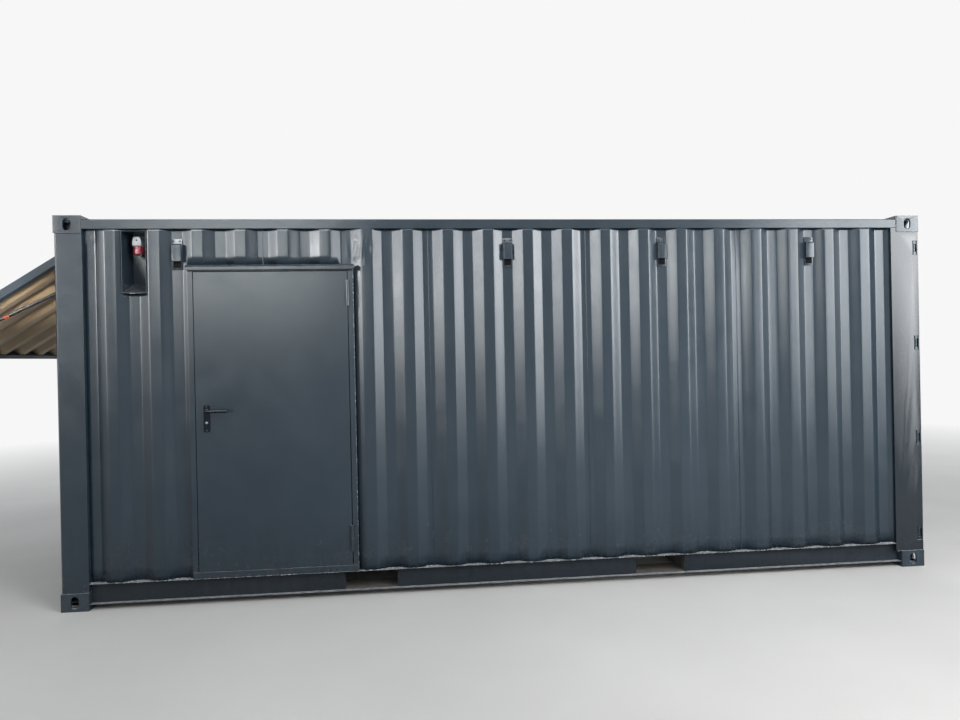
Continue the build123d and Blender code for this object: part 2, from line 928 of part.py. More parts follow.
hatch_top_z = hatch_axis_height - hatch_head
hatch_base_z = hatch_axis_height - hatch_length
hatch_outer_x = hatch_axis[0]
hatch_inner_x = hatch_outer_x + hatch_tube


def hatch_side_tubes():
    tube = tube_z(
        hatch_outer_x,
        hatch_inner_x,
        hatch_half - hatch_tube,
        hatch_half,
        hatch_base_z + hatch_tube,
        hatch_top_z - hatch_tube,
        tube_wall,
    )
    return opened(group(tube, mirrored(tube)))


def hatch_cross_tubes():
    pieces = []
    for z0 in (hatch_base_z, hatch_top_z - hatch_tube):
        pieces.append(
            tube_y(hatch_outer_x, hatch_inner_x, -hatch_half, hatch_half, z0, z0 + hatch_tube, tube_wall)
        )
    return opened(group(*pieces))


def hatch_panel():
    """The piece of corrugated end wall that was cut out, inside its frame."""
    edge = hatch_half - hatch_tube
    line = rib_line(-edge, edge, 0.0, outer_flat_width, inner_flat_width, slope_width, rib_depth)
    points = square_strip(line, skin)
    start = hatch_outer_x + (hatch_tube - rib_depth - skin) / 2
    outline = [(start + deep, y) for y, deep in points]
    return opened(prism_z(outline, hatch_base_z + hatch_tube, hatch_top_z - hatch_tube))


def hatch_knuckles(moving):
    """Barrels on the hinge line: fixed ones carry the pins."""
    x, z = hatch_axis
    pieces = []
    for place in (-hatch_knuckle_side, 0.0, hatch_knuckle_side):
        if moving:
            y0, y1 = place + seat_gap, place + hatch_knuckle_length
            barrel = rod((x, y0, z), (x, y1, z), hatch_knuckle_radius)
            web = block(x - hinge_leaf_plate, x + hinge_leaf_plate, y0, y1, hatch_top_z, z)
            bore = rod((x, y0 - over, z), (x, y1 + over, z), hatch_pin_radius + pin_clearance)
            pieces.append(barrel + web - bore)
        else:
            y0, y1 = place - hatch_knuckle_length, place
            barrel = rod((x, y0, z), (x, y1, z), hatch_knuckle_radius)
            web = block(x - hinge_leaf_plate, x + hinge_leaf_plate, y0, y1, z, lintel_base)
            pin = rod((x, y0, z), (x, place + hatch_knuckle_length, z), hatch_pin_radius)
            pieces.append(barrel + web + pin)
    return opened(group(*pieces)) if moving else group(*pieces)


def strut_brackets():
    """Feet on the hatch's side tubes, each with a stud for a strut's rod end."""
    x = hatch_axis[0] + strut_hatch_drop
    z = hatch_axis_height - strut_hatch_reach
    near = strut_side + strut_eye_width / 2 + bracket_clearance
    foot = block(
        hatch_inner_x,
        hatch_inner_x + bracket_foot,
        near,
        hatch_half,
        z - bracket_half,
        z + bracket_half,
    )
    web_end = near + bracket_plate
    web = block(hatch_inner_x, x + strut_eye_radius, near, web_end, z - bracket_half, z + bracket_half)
    stud = rod((x, web_end, z), (x, strut_side + strut_eye_width / 2 + seat_gap, z), strut_pin_radius)
    bracket = foot + web + stud
    return opened(group(bracket, mirrored(bracket)))


def turned_about_hatch(x, z, angle):
    dx = x - hatch_axis[0]
    dz = z - hatch_axis[1]
    a = radians(angle)
    return (hatch_axis[0] + dx * cos(a) + dz * sin(a), hatch_axis[1] - dx * sin(a) + dz * cos(a))


strut_fixed = (hatch_axis[0] + strut_fixed_inset, hatch_axis_height - strut_fixed_drop)
strut_closed = (hatch_axis[0] + strut_hatch_drop, hatch_axis_height - strut_hatch_reach)
strut_open = turned_about_hatch(strut_closed[0], strut_closed[1], hatch_open_angle)
strut_open_length = hypot(strut_open[0] - strut_fixed[0], strut_open[1] - strut_fixed[1])
strut_closed_length = hypot(strut_closed[0] - strut_fixed[0], strut_closed[1] - strut_fixed[1])


def along_strut(piece):
    """A piece drawn along +Z from the fixed pivot, laid along the raised strut."""
    way = (strut_open[0] - strut_fixed[0], 0, strut_open[1] - strut_fixed[1])
    seat = Plane(origin=(strut_fixed[0], strut_side, strut_fixed[1]), x_dir=(0, 1, 0), z_dir=way)
    return seat.location * piece


def strut_eye(place):
    eye = Rot(0, 90, 0) * Cylinder(strut_eye_radius, strut_eye_width)
    eye -= Rot(0, 90, 0) * Cylinder(strut_pin_radius + pin_clearance, 2 * strut_eye_width)
    return Pos(0, 0, place) * eye


def round_z(radius, z0, z1):
    return Pos(0, 0, (z0 + z1) / 2) * Cylinder(radius, z1 - z0)


def strut_cylinder():
    """Gas strut barrel with its eye: bored for the rod, with a gland at the mouth."""
    start = strut_eye_radius - strut_eye_sink
    mouth = start + strut_tube_length
    bore_from = strut_closed_length - strut_rod_length - strut_gland
    barrel = round_z(strut_tube_radius, start, mouth)
    barrel -= round_z(strut_tube_bore, bore_from, mouth - strut_gland)
    barrel -= round_z(strut_rod_radius + pin_clearance, mouth - 2 * strut_gland, mouth + over)
    return along_strut(barrel + strut_eye(0))


def strut_rod():
    inner = strut_open_length - strut_rod_length
    shaft = round_z(strut_rod_radius, inner, strut_open_length - strut_eye_radius + strut_eye_sink)
    piston = round_z(strut_tube_bore - pin_clearance, inner, inner + strut_piston_length)
    return along_strut(shaft + piston + strut_eye(strut_open_length))


cargo_outer = -front_face - post_inner_depth - cargo_gap
lock_bar_outer = cargo_outer - lock_bar_inset
cargo_base_z = bottom_rail_top + cargo_gap
cargo_top_z = cargo_header_base - cargo_gap
cargo_back = cargo_face - cargo_tube


def cargo_stiles():
    """Upright tubes of both cargo doors."""
    inner = cargo_gap / 2
    pieces = []
    for y0, y1 in ((inner, inner + cargo_tube), (cargo_outer - cargo_tube, cargo_outer)):
        pieces.append(tube_z(cargo_back, cargo_face, y0, y1, cargo_base_z, cargo_top_z, tube_wall))
    return group(*pieces, *[mirrored(piece) for piece in pieces])


def cargo_rails():
    """Top and bottom tubes of both cargo doors."""
    y0 = cargo_gap / 2 + cargo_tube
    y1 = cargo_outer - cargo_tube
    pieces = []
    for z0 in (cargo_base_z, cargo_top_z - cargo_tube):
        pieces.append(tube_y(cargo_back, cargo_face, y0, y1, z0, z0 + cargo_tube, tube_wall))
    return group(*pieces, *[mirrored(piece) for piece in pieces])


def cargo_panels():
    """Door sheets with broad ribs across."""
    z0 = cargo_base_z + cargo_tube
    z1 = cargo_top_z - cargo_tube
    step = (z1 - z0) / cargo_ribs
    gap = step - cargo_rib_width - 2 * cargo_slope_width
    line = rib_line(z0, z1, z0, gap, cargo_rib_width, cargo_slope_width, cargo_rib_depth)
    points = square_strip(line, skin)
    face = cargo_face - (cargo_tube - cargo_rib_depth - skin) / 2
    outline = [(face - deep, z) for z, deep in points]
    panel = prism_y(outline, cargo_gap / 2 + cargo_tube, cargo_outer - cargo_tube)
    return group(panel, mirrored(panel))


def cargo_gaskets():
    """Rubber seal round each door, in the gap to its frame."""
    y0 = cargo_gap / 2
    x1 = cargo_face - gasket_inset
    x0 = x1 - gasket_depth
    grow = cargo_gap - 2 * gasket_gap
    seal = block(x0, x1, gasket_gap, cargo_outer + grow, cargo_base_z - grow, cargo_top_z + grow)
    seal -= block(x0 - over, x1 + over, y0, cargo_outer, cargo_base_z, cargo_top_z)
    return group(seal, mirrored(seal))


barrel_x = cargo_face + cargo_barrel_out
barrel_y = -front_face - cargo_barrel_in


def cargo_hinges():
    """Hinge blades on the doors, each with its barrel in the post's slot."""
    pieces = []
    half = cargo_hinge_height / 2
    blade_from = cargo_outer - cargo_blade_reach
    for middle in hinge_heights:
        z0 = middle - half
        z1 = middle + half
        blade = block(cargo_face, cargo_face + cargo_blade, blade_from, barrel_y, z0, z1)
        barrel = rod((barrel_x, barrel_y, z0), (barrel_x, barrel_y, z1), cargo_barrel_radius)
        bore_radius = cargo_pin_radius + pin_clearance
        bore = rod((barrel_x, barrel_y, z0 - over), (barrel_x, barrel_y, z1 + over), bore_radius)
        pieces.append(blade + barrel - bore)
    return group(*pieces, *[mirrored(piece) for piece in pieces])


def cargo_hinge_pins():
    """Pins with a lug above and below each barrel, fixed inside the post."""
    pieces = []
    half = cargo_hinge_height / 2 + cargo_lug_gap
    reach = hinge_slot_height / 2 + cargo_lug_height
    x0 = barrel_x - cargo_lug_half
    x1 = right_face - post_plate
    y0 = barrel_y - cargo_lug_half
    y1 = -front_face - post_plate
    for middle in hinge_heights:
        low = middle - reach
        high = middle + reach
        pin = rod((barrel_x, barrel_y, low), (barrel_x, barrel_y, high), cargo_pin_radius)
        for z0, z1 in ((low, middle - half), (middle + half, high)):
            pin += block(x0, x1, y0, y1, z0, z1)
        pieces.append(pin)
    return group(*pieces, *[mirrored(piece) for piece in pieces])


bar_x = cargo_face + lock_bar_radius + lock_bar_gap
bar_base = (casting_height + bottom_rail_top) / 2 - keeper_height
bar_top = top_rail_base + keeper_height


def lock_bars():
    """Upright lock bars, each with its swing handle."""
    pieces = []
    x0 = bar_x - cargo_handle_plate / 2
    x1 = bar_x + cargo_handle_plate / 2
    for place, way, lift in ((lock_bar_inner, 1, 0.0), (lock_bar_outer, -1, cargo_handle_step)):
        bar = rod((bar_x, place, bar_base), (bar_x, place, bar_top), lock_bar_radius)
        y0, y1 = sorted((place, place + way * cargo_handle_length))
        z0 = cargo_handle_height + lift - cargo_handle_width / 2
        bar += block(x0, x1, y0, y1, z0, z0 + cargo_handle_width)
        pieces.append(bar)
    return group(*pieces, *[mirrored(piece) for piece in pieces])


def bar_keepers():
    """Guides on the doors and keepers on the sill and header, round the lock bars."""
    pieces = []
    heights = [bar_base + keeper_height, bar_top - keeper_height]
    heights += [share * height for share in guide_shares]
    for place in (lock_bar_inner, lock_bar_outer):
        for z in heights:
            piece = block(
                cargo_face,
                bar_x + lock_bar_radius + keeper_wall,
                place - keeper_width / 2,
                place + keeper_width / 2,
                z - guide_height / 2,
                z + guide_height / 2,
            )
            bore = ((bar_x, place, z - guide_height), (bar_x, place, z + guide_height))
            pieces.append(piece - rod(*bore, lock_bar_radius + keeper_play))
    return group(*pieces, *[mirrored(piece) for piece in pieces])


def main():
    os.makedirs("parts", exist_ok=True)
    front_vents = vents()
    cylinder = strut_cylinder()
    strut_end = strut_rod()
    back_wall = mirrored(side_wall(left_post_edge, right_post_edge, bottom_rail_top, top_rail_base))
    post_left = left_post()
    post_right = right_post()
    rail = bottom_rail()
    bridges = rail_bridges()
    upper_rail = top_rail()
    nodes = {
        "castings_top": castings(True),
        "castings_bottom": castings(False),
        "left_corner_posts": group(post_left, mirrored(post_left)),
        "right_corner_posts": group(post_right, mirrored(post_right)),
        "bottom_side_rails": group(rail, mirrored(rail)),
        "bottom_rail_bridges": group(bridges, mirrored(bridges)),
        "top_side_rails": group(upper_rail, mirrored(upper_rail)),
        "left_end_sill": left_sill(),
        "left_end_header": left_header(),
        "cargo_door_sill": cargo_sill(),
        "cargo_door_header": cargo_header(),
        "cargo_frame_ends": cargo_frame_ends(),
        "fork_pocket_roofs": pocket_roofs(),
        "fork_pocket_sides": pocket_sides(),
        "fork_pocket_straps": pocket_straps(),
        "floor_crossmembers": crossmembers(),
        "floor_boards": floor_boards(),
        "roof_panel": roof_panel(),
        "roof_ends": roof_ends(),
        "front_wall_left": front_wall_left(),
        "front_wall_over_door": side_wall(door_frame_left, door_frame_right, door_frame_top, top_rail_base),
        "front_wall_right": side_wall(door_frame_right, right_post_edge, bottom_rail_top, top_rail_base),
        "back_wall": back_wall,
        "left_end_wall": end_wall_lower(),
        "vents": group(*front_vents, *[mirrored(piece) for piece in front_vents]),
        "inlet_niche": inlet_niche(),
        "inlet_housing": inlet_housing(),
        "inlet_collar": inlet_collar(),
        "door_jambs": door_jambs(),
        "door_head": door_head(),
        "door_threshold": door_threshold(),
        "door_drip_cap": drip_cap(),
        "door_hinge_pins": door_knuckles(False),
        "door_leaf": door_leaf(),
        "door_leaf_knuckles": door_knuckles(True),
        "door_handle_plates": handle_plates(),
        "door_lever": door_lever(),
        "hatch_jambs": hatch_jambs(),
        "hatch_lintel": hatch_lintel(),
        "hatch_header": hatch_header(),
        "counter_rail": counter_rail(),
        "hatch_hinge_pins": hatch_knuckles(False),
        "hatch_side_tubes": hatch_side_tubes(),
        "hatch_cross_tubes": hatch_cross_tubes(),
        "hatch_panel": hatch_panel(),
        "hatch_knuckles": hatch_knuckles(True),
        "hatch_strut_brackets": strut_brackets(),
        "strut_cylinder_back": cylinder,
        "strut_rod_back": strut_end,
        "strut_cylinder_front": mirrored(cylinder),
        "strut_rod_front": mirrored(strut_end),
        "cargo_door_stiles": cargo_stiles(),
        "cargo_door_rails": cargo_rails(),
        "cargo_door_panels": cargo_panels(),
        "cargo_door_gaskets": cargo_gaskets(),
        "cargo_door_hinges": cargo_hinges(),
        "cargo_hinge_pins": cargo_hinge_pins(),
        "cargo_lock_bars": lock_bars(),
        "cargo_bar_keepers": bar_keepers(),
    }
    for name, solid in nodes.items():
        export_step(solid, "parts/" + name + ".step")
    print(len(nodes), "nodes")


main()
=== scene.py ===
# Looks of the container bar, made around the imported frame. Units are metres.
import json
import math
import random

import bmesh
import bpy
from mathutils import Matrix, Vector, noise

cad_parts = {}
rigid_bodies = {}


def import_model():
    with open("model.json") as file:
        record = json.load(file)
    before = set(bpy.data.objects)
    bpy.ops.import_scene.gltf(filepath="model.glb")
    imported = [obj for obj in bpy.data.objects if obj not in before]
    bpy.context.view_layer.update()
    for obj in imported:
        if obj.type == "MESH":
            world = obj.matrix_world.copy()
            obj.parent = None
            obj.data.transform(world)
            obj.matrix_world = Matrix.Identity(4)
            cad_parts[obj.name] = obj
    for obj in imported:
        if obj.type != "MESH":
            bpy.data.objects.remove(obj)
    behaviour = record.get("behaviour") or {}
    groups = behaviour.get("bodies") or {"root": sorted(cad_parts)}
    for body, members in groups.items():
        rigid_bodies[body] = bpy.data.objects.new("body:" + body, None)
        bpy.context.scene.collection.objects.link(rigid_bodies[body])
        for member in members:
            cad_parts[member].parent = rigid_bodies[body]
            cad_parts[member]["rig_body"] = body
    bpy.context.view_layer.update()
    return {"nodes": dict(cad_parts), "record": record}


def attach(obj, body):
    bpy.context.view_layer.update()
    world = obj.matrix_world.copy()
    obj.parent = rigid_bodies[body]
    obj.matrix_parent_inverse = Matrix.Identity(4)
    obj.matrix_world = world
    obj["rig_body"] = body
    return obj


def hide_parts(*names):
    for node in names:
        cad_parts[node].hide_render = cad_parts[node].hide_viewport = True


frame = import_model()
nodes = frame["nodes"]
slotOf = {one["node"]: one["material_slot"] for one in frame["record"]["subparts"]}
scene = bpy.context.scene
random.seed(7)
print("frame loaded:", len(nodes), "nodes")


# Materials

def nodeMaterial(name):
    material = bpy.data.materials.new(name)
    material.use_nodes = True
    tree = material.node_tree
    return material, tree, tree.nodes["Principled BSDF"]


def objectCoords(tree):
    return tree.nodes.new("ShaderNodeTexCoord").outputs["Object"]


def addNoise(tree, coord, scale, detail=3.0, roughness=0.5):
    texture = tree.nodes.new("ShaderNodeTexNoise")
    texture.inputs["Scale"].default_value = scale
    texture.inputs["Detail"].default_value = detail
    texture.inputs["Roughness"].default_value = roughness
    tree.links.new(coord, texture.inputs["Vector"])
    return texture.outputs["Fac"]


def stretched(tree, coord, scale):
    mapping = tree.nodes.new("ShaderNodeMapping")
    mapping.inputs["Scale"].default_value = scale
    tree.links.new(coord, mapping.inputs["Vector"])
    return mapping.outputs["Vector"]


def parts(tree, vector):
    node = tree.nodes.new("ShaderNodeSeparateXYZ")
    tree.links.new(vector, node.inputs[0])
    return node.outputs


def ranged(tree, value, low, high, toLow, toHigh):
    node = tree.nodes.new("ShaderNodeMapRange")
    node.inputs["From Min"].default_value = low
    node.inputs["From Max"].default_value = high
    node.inputs["To Min"].default_value = toLow
    node.inputs["To Max"].default_value = toHigh
    tree.links.new(value, node.inputs["Value"])
    return node.outputs["Result"]


def mixed(tree, factor, first, second):
    node = tree.nodes.new("ShaderNodeMix")
    node.data_type = "RGBA"
    for socket, value in (("A", first), ("B", second)):
        target = [one for one in node.inputs if one.name == socket and one.type == "RGBA"][0]
        if isinstance(value, tuple):
            target.default_value = (*value, 1.0)
        else:
            tree.links.new(value, target)
    tree.links.new(factor, node.inputs[0])
    return [one for one in node.outputs if one.type == "RGBA"][0]


def maths(tree, operation, first, second):
    node = tree.nodes.new("ShaderNodeMath")
    node.operation = operation
    for index, value in enumerate((first, second)):
        if isinstance(value, (int, float)):
            node.inputs[index].default_value = value
        else:
            tree.links.new(value, node.inputs[index])
    return node.outputs[0]


def bumped(tree, shader, layers):
    # layers of (height, distance in metres), from the broadest to the finest
    normal = None
    for height, distance in layers:
        bump = tree.nodes.new("ShaderNodeBump")
        bump.inputs["Strength"].default_value = 1.0
        bump.inputs["Distance"].default_value = distance
        tree.links.new(height, bump.inputs["Height"])
        if normal is not None:
            tree.links.new(normal, bump.inputs["Normal"])
        normal = bump.outputs["Normal"]
    tree.links.new(normal, shader.inputs["Normal"])


anthracite = {
    "base": (0.0225, 0.0375, 0.053),
    "second": (0.028, 0.044, 0.060),  # in broad patches between the base
    # near-black low down: painted shade
    "lowDustAndShade": (0.008, 0.010, 0.012),
    "lowDustAndShadeTop": 0.6,  # height that the low dust and the painted shade reach
    "lowDustAndShadeMost": 0.7,
    "ledge": (0.42, 0.43, 0.44),  # dust and painted sheen on what faces up
    "gloss": 0.32,
    "roughLow": 0.15,
    "roughHigh": 0.25,
    "wave": 0.0020,  # metres, as pits
    "pits": 0.0002,
}
# duller on castings and tubes; darker on the bottom rails as painted shade; sleeker on the cargo end's posts
# and darker there as painted shade
satin = dict(anthracite, gloss=0.2, roughLow=0.42, roughHigh=0.56)
# the bottom rails' darker copy of the paint: painted shade
shadedRail = dict(satin, gloss=0.12, base=(0.012, 0.019, 0.026), second=(0.016, 0.023, 0.031))
# the cargo end posts' glossier copy of the paint, its darker base painted shade
sleekShaded = dict(anthracite, base=(0.013, 0.021, 0.029), second=(0.017, 0.026, 0.036),
             roughLow=0.07, roughHigh=0.11)
beige = {
    "base": (0.43, 0.335, 0.230),
    "second": (0.35, 0.26, 0.16),
    "lowDustAndShade": (0.24, 0.15, 0.09),
    "lowDustAndShadeTop": 0.5,
    "lowDustAndShadeMost": 0.25,
    "ledge": (0.46, 0.42, 0.35),
    "gloss": 0.4,
    "roughLow": 0.42,
    "roughHigh": 0.6,
    "wave": 0.002,
    "pits": 0.0004,
}
undercoat = {
    "base": (0.016, 0.017, 0.018),
    "second": (0.024, 0.023, 0.022),
    "lowDustAndShade": (0.14, 0.12, 0.10),
    "lowDustAndShadeTop": 0.2,
    "lowDustAndShadeMost": 0.6,
    "ledge": (0.12, 0.11, 0.10),
    "gloss": 0.3,
    "roughLow": 0.6,
    "roughHigh": 0.85,
    "wave": 0.001,
    "pits": 0.0008,
}


def paintMaterial(name, look):
    # paint over old steel: uneven colour, waves, pits, orange peel, a low-down colour that is dust on the
    # beige and the undercoat but painted shade on the anthracite ones, and pale dust with painted sheen on
    # ledges
    material, tree, shader = nodeMaterial(name)
    coord = objectCoords(tree)
    height = parts(tree, coord)["Z"]
    up = parts(tree, tree.nodes.new("ShaderNodeNewGeometry").outputs["Normal"])["Z"]
    blotch = addNoise(tree, coord, 1.4, 5.0, 0.6)
    color = mixed(tree, ranged(tree, blotch, 0.35, 0.65, 0.0, 1.0), look["base"], look["second"])
    grain = addNoise(tree, coord, 26.0, 6.0, 0.7)
    runs = addNoise(tree, stretched(tree, coord, (16.0, 16.0, 1.1)), 1.0, 5.0, 0.65)  # streaks down
    # low down: real dust on the beige and the undercoat, painted shade on the anthracite and its copies
    low = ranged(tree, height, 0.12, look["lowDustAndShadeTop"], 1.0, 0.0)
    speck = ranged(tree, maths(tree, "MULTIPLY", grain, runs), 0.15, 0.4, 0.0, look["lowDustAndShadeMost"])
    lowDustAndShade = maths(tree, "MULTIPLY", low, speck)
    color = mixed(tree, lowDustAndShade, color, look["lowDustAndShade"])
    # faces that look up, most of all low down, turn pale: partly dust, partly painted sheen
    level = ranged(tree, up, 0.6, 0.9, 0.0, 1.0)
    ledge = maths(tree, "MULTIPLY", level, ranged(tree, height, 0.2, 0.6, 1.0, 0.2))
    ledge = maths(tree, "MULTIPLY", ledge, ranged(tree, grain, 0.3, 0.62, 0.3, 1.0))
    color = mixed(tree, ledge, color, look["ledge"])
    tree.links.new(color, shader.inputs["Base Color"])
    shader.inputs["Specular IOR Level"].default_value = look["gloss"]
    soft = addNoise(tree, coord, 5.0, 4.0, 0.6)
    rough = ranged(tree, soft, 0.3, 0.7, look["roughLow"], look["roughHigh"])
    rough = maths(tree, "ADD", rough, maths(tree, "MULTIPLY", maths(tree, "MAXIMUM", lowDustAndShade, ledge), 0.25))
    tree.links.new(rough, shader.inputs["Roughness"])
    wave = addNoise(tree, stretched(tree, coord, (2.6, 2.6, 1.5)), 1.0, 1.0)
    pits = ranged(tree, addNoise(tree, coord, 60.0, 5.0, 0.65), 0.58, 0.72, 1.0, 0.0)
    peel = addNoise(tree, coord, 420.0, 1.0)  # orange peel of the spray
    bumped(tree, shader, ((wave, look["wave"]), (pits, look["pits"]), (peel, 0.00012)))
    return material


def plasticMaterial(name, base, rough, coat=0.0, gloss=0.5):
    material, tree, shader = nodeMaterial(name)
    coord = objectCoords(tree)
    cloud = addNoise(tree, coord, 14.0, 4.0)
    darker = tuple(one * 0.82 for one in base)
    color = mixed(tree, ranged(tree, cloud, 0.35, 0.65, 0.0, 1.0), base, darker)
    tree.links.new(color, shader.inputs["Base Color"])
    worn = ranged(tree, addNoise(tree, coord, 45.0, 3.0), 0.3, 0.7, rough, rough + 0.14)
    tree.links.new(worn, shader.inputs["Roughness"])
    shader.inputs["Coat Weight"].default_value = coat
    shader.inputs["Specular IOR Level"].default_value = gloss
    bumped(tree, shader, ((addNoise(tree, coord, 700.0, 2.0), 0.00006),))
    return material


def metalMaterial(name, base, rough):
    material, tree, shader = nodeMaterial(name)
    coord = objectCoords(tree)
    shader.inputs["Metallic"].default_value = 1.0
    tarnish = addNoise(tree, coord, 22.0, 5.0)
    dull = tuple(one * 0.55 for one in base)
    color = mixed(tree, ranged(tree, tarnish, 0.45, 0.75, 0.0, 0.7), base, dull)
    tree.links.new(color, shader.inputs["Base Color"])
    brushed = addNoise(tree, stretched(tree, coord, (60.0, 60.0, 60.0)), 6.0, 3.0)
    tree.links.new(ranged(tree, brushed, 0.3, 0.7, rough, rough + 0.18), shader.inputs["Roughness"])
    bumped(tree, shader, ((brushed, 0.00005),))
    return material


def woodMaterial(name):
    # worn film-faced plywood with sheet joints across and grain along the container
    material, tree, shader = nodeMaterial(name)
    coord = objectCoords(tree)
    grain = addNoise(tree, stretched(tree, coord, (2.2, 46.0, 10.0)), 1.0, 7.0, 0.62)
    color = mixed(tree, ranged(tree, grain, 0.3, 0.7, 0.0, 1.0), (0.17, 0.085, 0.038), (0.33, 0.19, 0.095))
    worn = ranged(tree, addNoise(tree, coord, 2.4, 6.0, 0.65), 0.48, 0.66, 0.0, 0.55)
    color = mixed(tree, worn, color, (0.30, 0.25, 0.19))
    along = maths(tree, "PINGPONG", parts(tree, coord)["X"], 0.61)
    joint = ranged(tree, along, 0.0, 0.0035, 1.0, 0.0)
    across = maths(tree, "PINGPONG", parts(tree, coord)["Y"], 0.585)
    joint = maths(tree, "MAXIMUM", joint, ranged(tree, across, 0.0, 0.003, 1.0, 0.0))
    color = mixed(tree, joint, color, (0.03, 0.02, 0.014))
    tree.links.new(color, shader.inputs["Base Color"])
    tree.links.new(ranged(tree, worn, 0.0, 0.55, 0.36, 0.7), shader.inputs["Roughness"])
    depth = maths(tree, "SUBTRACT", maths(tree, "MULTIPLY", grain, 0.3), joint)
    bumped(tree, shader, ((depth, 0.001),))
    return material


def beadMaterial(name):
    # painted weld bead with pale specks on its crests, partly dust and bare metal and partly painted glints
    material, tree, shader = nodeMaterial(name)
    coord = objectCoords(tree)
    speck = ranged(tree, addNoise(tree, coord, 55.0, 5.0, 0.7), 0.51, 0.63, 0.0, 1.0)
    color = mixed(tree, speck, (0.065, 0.08, 0.09), (0.5, 0.52, 0.53))
    tree.links.new(color, shader.inputs["Base Color"])
    tree.links.new(ranged(tree, speck, 0.0, 1.0, 0.22, 0.6), shader.inputs["Roughness"])
    bumped(tree, shader, ((addNoise(tree, coord, 240.0, 3.0), 0.0006),))
    return material


mats = {
    "paint": paintMaterial("anthracite_paint", anthracite),
    "satin": paintMaterial("anthracite_satin_paint", satin),
    "shadedRail": paintMaterial("anthracite_shaded_rail_paint", shadedRail),
    "sleekShaded": paintMaterial("anthracite_sleek_shaded_paint", sleekShaded),
    "beige": paintMaterial("beige_inner_paint", beige),
    "undercoat": paintMaterial("dark_undercoat", undercoat),
    "wood": woodMaterial("worn_plywood"),
    "rubber": plasticMaterial("black_rubber", (0.018, 0.018, 0.019), 0.6),
    "grey": plasticMaterial("light_grey_plastic", (0.42, 0.46, 0.47), 0.34),
    "red": plasticMaterial("red_plastic", (0.42, 0.02, 0.045), 0.28, 0.3),
    "black": plasticMaterial("black_lacquer", (0.004, 0.011, 0.020), 0.08, 0.0, 0.16),
    "strut": plasticMaterial("black_tube_lacquer", (0.004, 0.004, 0.005), 0.2, 0.6, 0.3),
    "band": plasticMaterial("orange_band", (0.62, 0.10, 0.03), 0.35),
    "rod": metalMaterial("polished_rod", (0.60, 0.60, 0.62), 0.10),
    "zinc": metalMaterial("zinc_screw", (0.42, 0.43, 0.44), 0.34),
    "screw": plasticMaterial("dark_painted_screw", (0.012, 0.015, 0.019), 0.35, 0.0, 0.3),
    "shade": plasticMaterial("painted_shade_recess", (0.006, 0.006, 0.007), 0.8, 0.0, 0.1),
    "lock": metalMaterial("nickel_lock", (0.24, 0.25, 0.25), 0.12),
    "bead": beadMaterial("painted_weld_dust_and_glints"),
}
finishOf = {
    "container_paint": "paint",
    "hatch_beige": "beige",
    "underside_paint": "undercoat",
    "floor_wood": "wood",
    "seal_rubber": "rubber",
    "inlet_grey": "grey",
    "inlet_red": "red",
    "handle_black": "black",
    "strut_black": "strut",
    "rod_steel": "rod",
}
for name, source in nodes.items():
    source.data.materials.clear()
    source.data.materials.append(mats[finishOf[slotOf[name]]])
print("materials ready")


# Helpers for pieces

rounding = {"join": 0.00005, "flat": 0.3, "from": 32}  # metres, and degrees twice
touching = 0.00001  # points closer than this are one


def finishPiece(name, bm, body, finishes, sharp=35):
    # edges that turn by more than sharp degrees stay sharp
    bmesh.ops.recalc_face_normals(bm, faces=bm.faces[:])
    mesh = bpy.data.meshes.new(name)
    bm.to_mesh(mesh)
    bm.free()
    for finish in finishes:
        mesh.materials.append(mats[finish])
    mesh.polygons.foreach_set("use_smooth", [True] * len(mesh.polygons))
    mesh.set_sharp_from_angle(angle=math.radians(sharp))
    piece = bpy.data.objects.new(name, mesh)
    scene.collection.objects.link(piece)
    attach(piece, body)
    return piece


def roundedCopy(node, width, finish=None):
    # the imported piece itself, joined up and with rounded edges
    source = nodes[node]
    bm = bmesh.new()
    bm.from_mesh(source.data)
    bmesh.ops.remove_doubles(bm, verts=bm.verts[:], dist=rounding["join"])
    flat = math.radians(rounding["flat"])
    bmesh.ops.dissolve_limit(bm, angle_limit=flat, verts=bm.verts[:], edges=bm.edges[:])
    slot = slotOf[node]
    piece = finishPiece("finish_" + node, bm, source["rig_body"], [finish or finishOf[slot]])
    bevel = piece.modifiers.new("edges", "BEVEL")
    bevel.width = width
    bevel.segments = 2
    bevel.limit_method = "ANGLE"
    bevel.angle_limit = math.radians(rounding["from"])
    bevel.harden_normals = True
    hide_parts(node)
    return piece


def finished(bm, index, make, *values):
    # whatever make adds takes the finish with this index
    before = set(bm.faces)
    made = make(bm, *values)
    for face in bm.faces:
        if face not in before:
            face.material_index = index
    return made


def addBlock(bm, low, high, corner=0.0, segments=2):
    made = bmesh.ops.create_cube(bm, size=1.0)
    size = [b - a for a, b in zip(low, high)]
    middle = [(a + b) / 2 for a, b in zip(low, high)]
    bmesh.ops.scale(bm, verts=made["verts"], vec=size)
    bmesh.ops.translate(bm, verts=made["verts"], vec=middle)
    if corner:
        edges = {edge for vert in made["verts"] for edge in vert.link_edges}
        bmesh.ops.bevel(bm, geom=list(edges), offset=corner, segments=segments, profile=0.5,
                        affect="EDGES", material=-1)


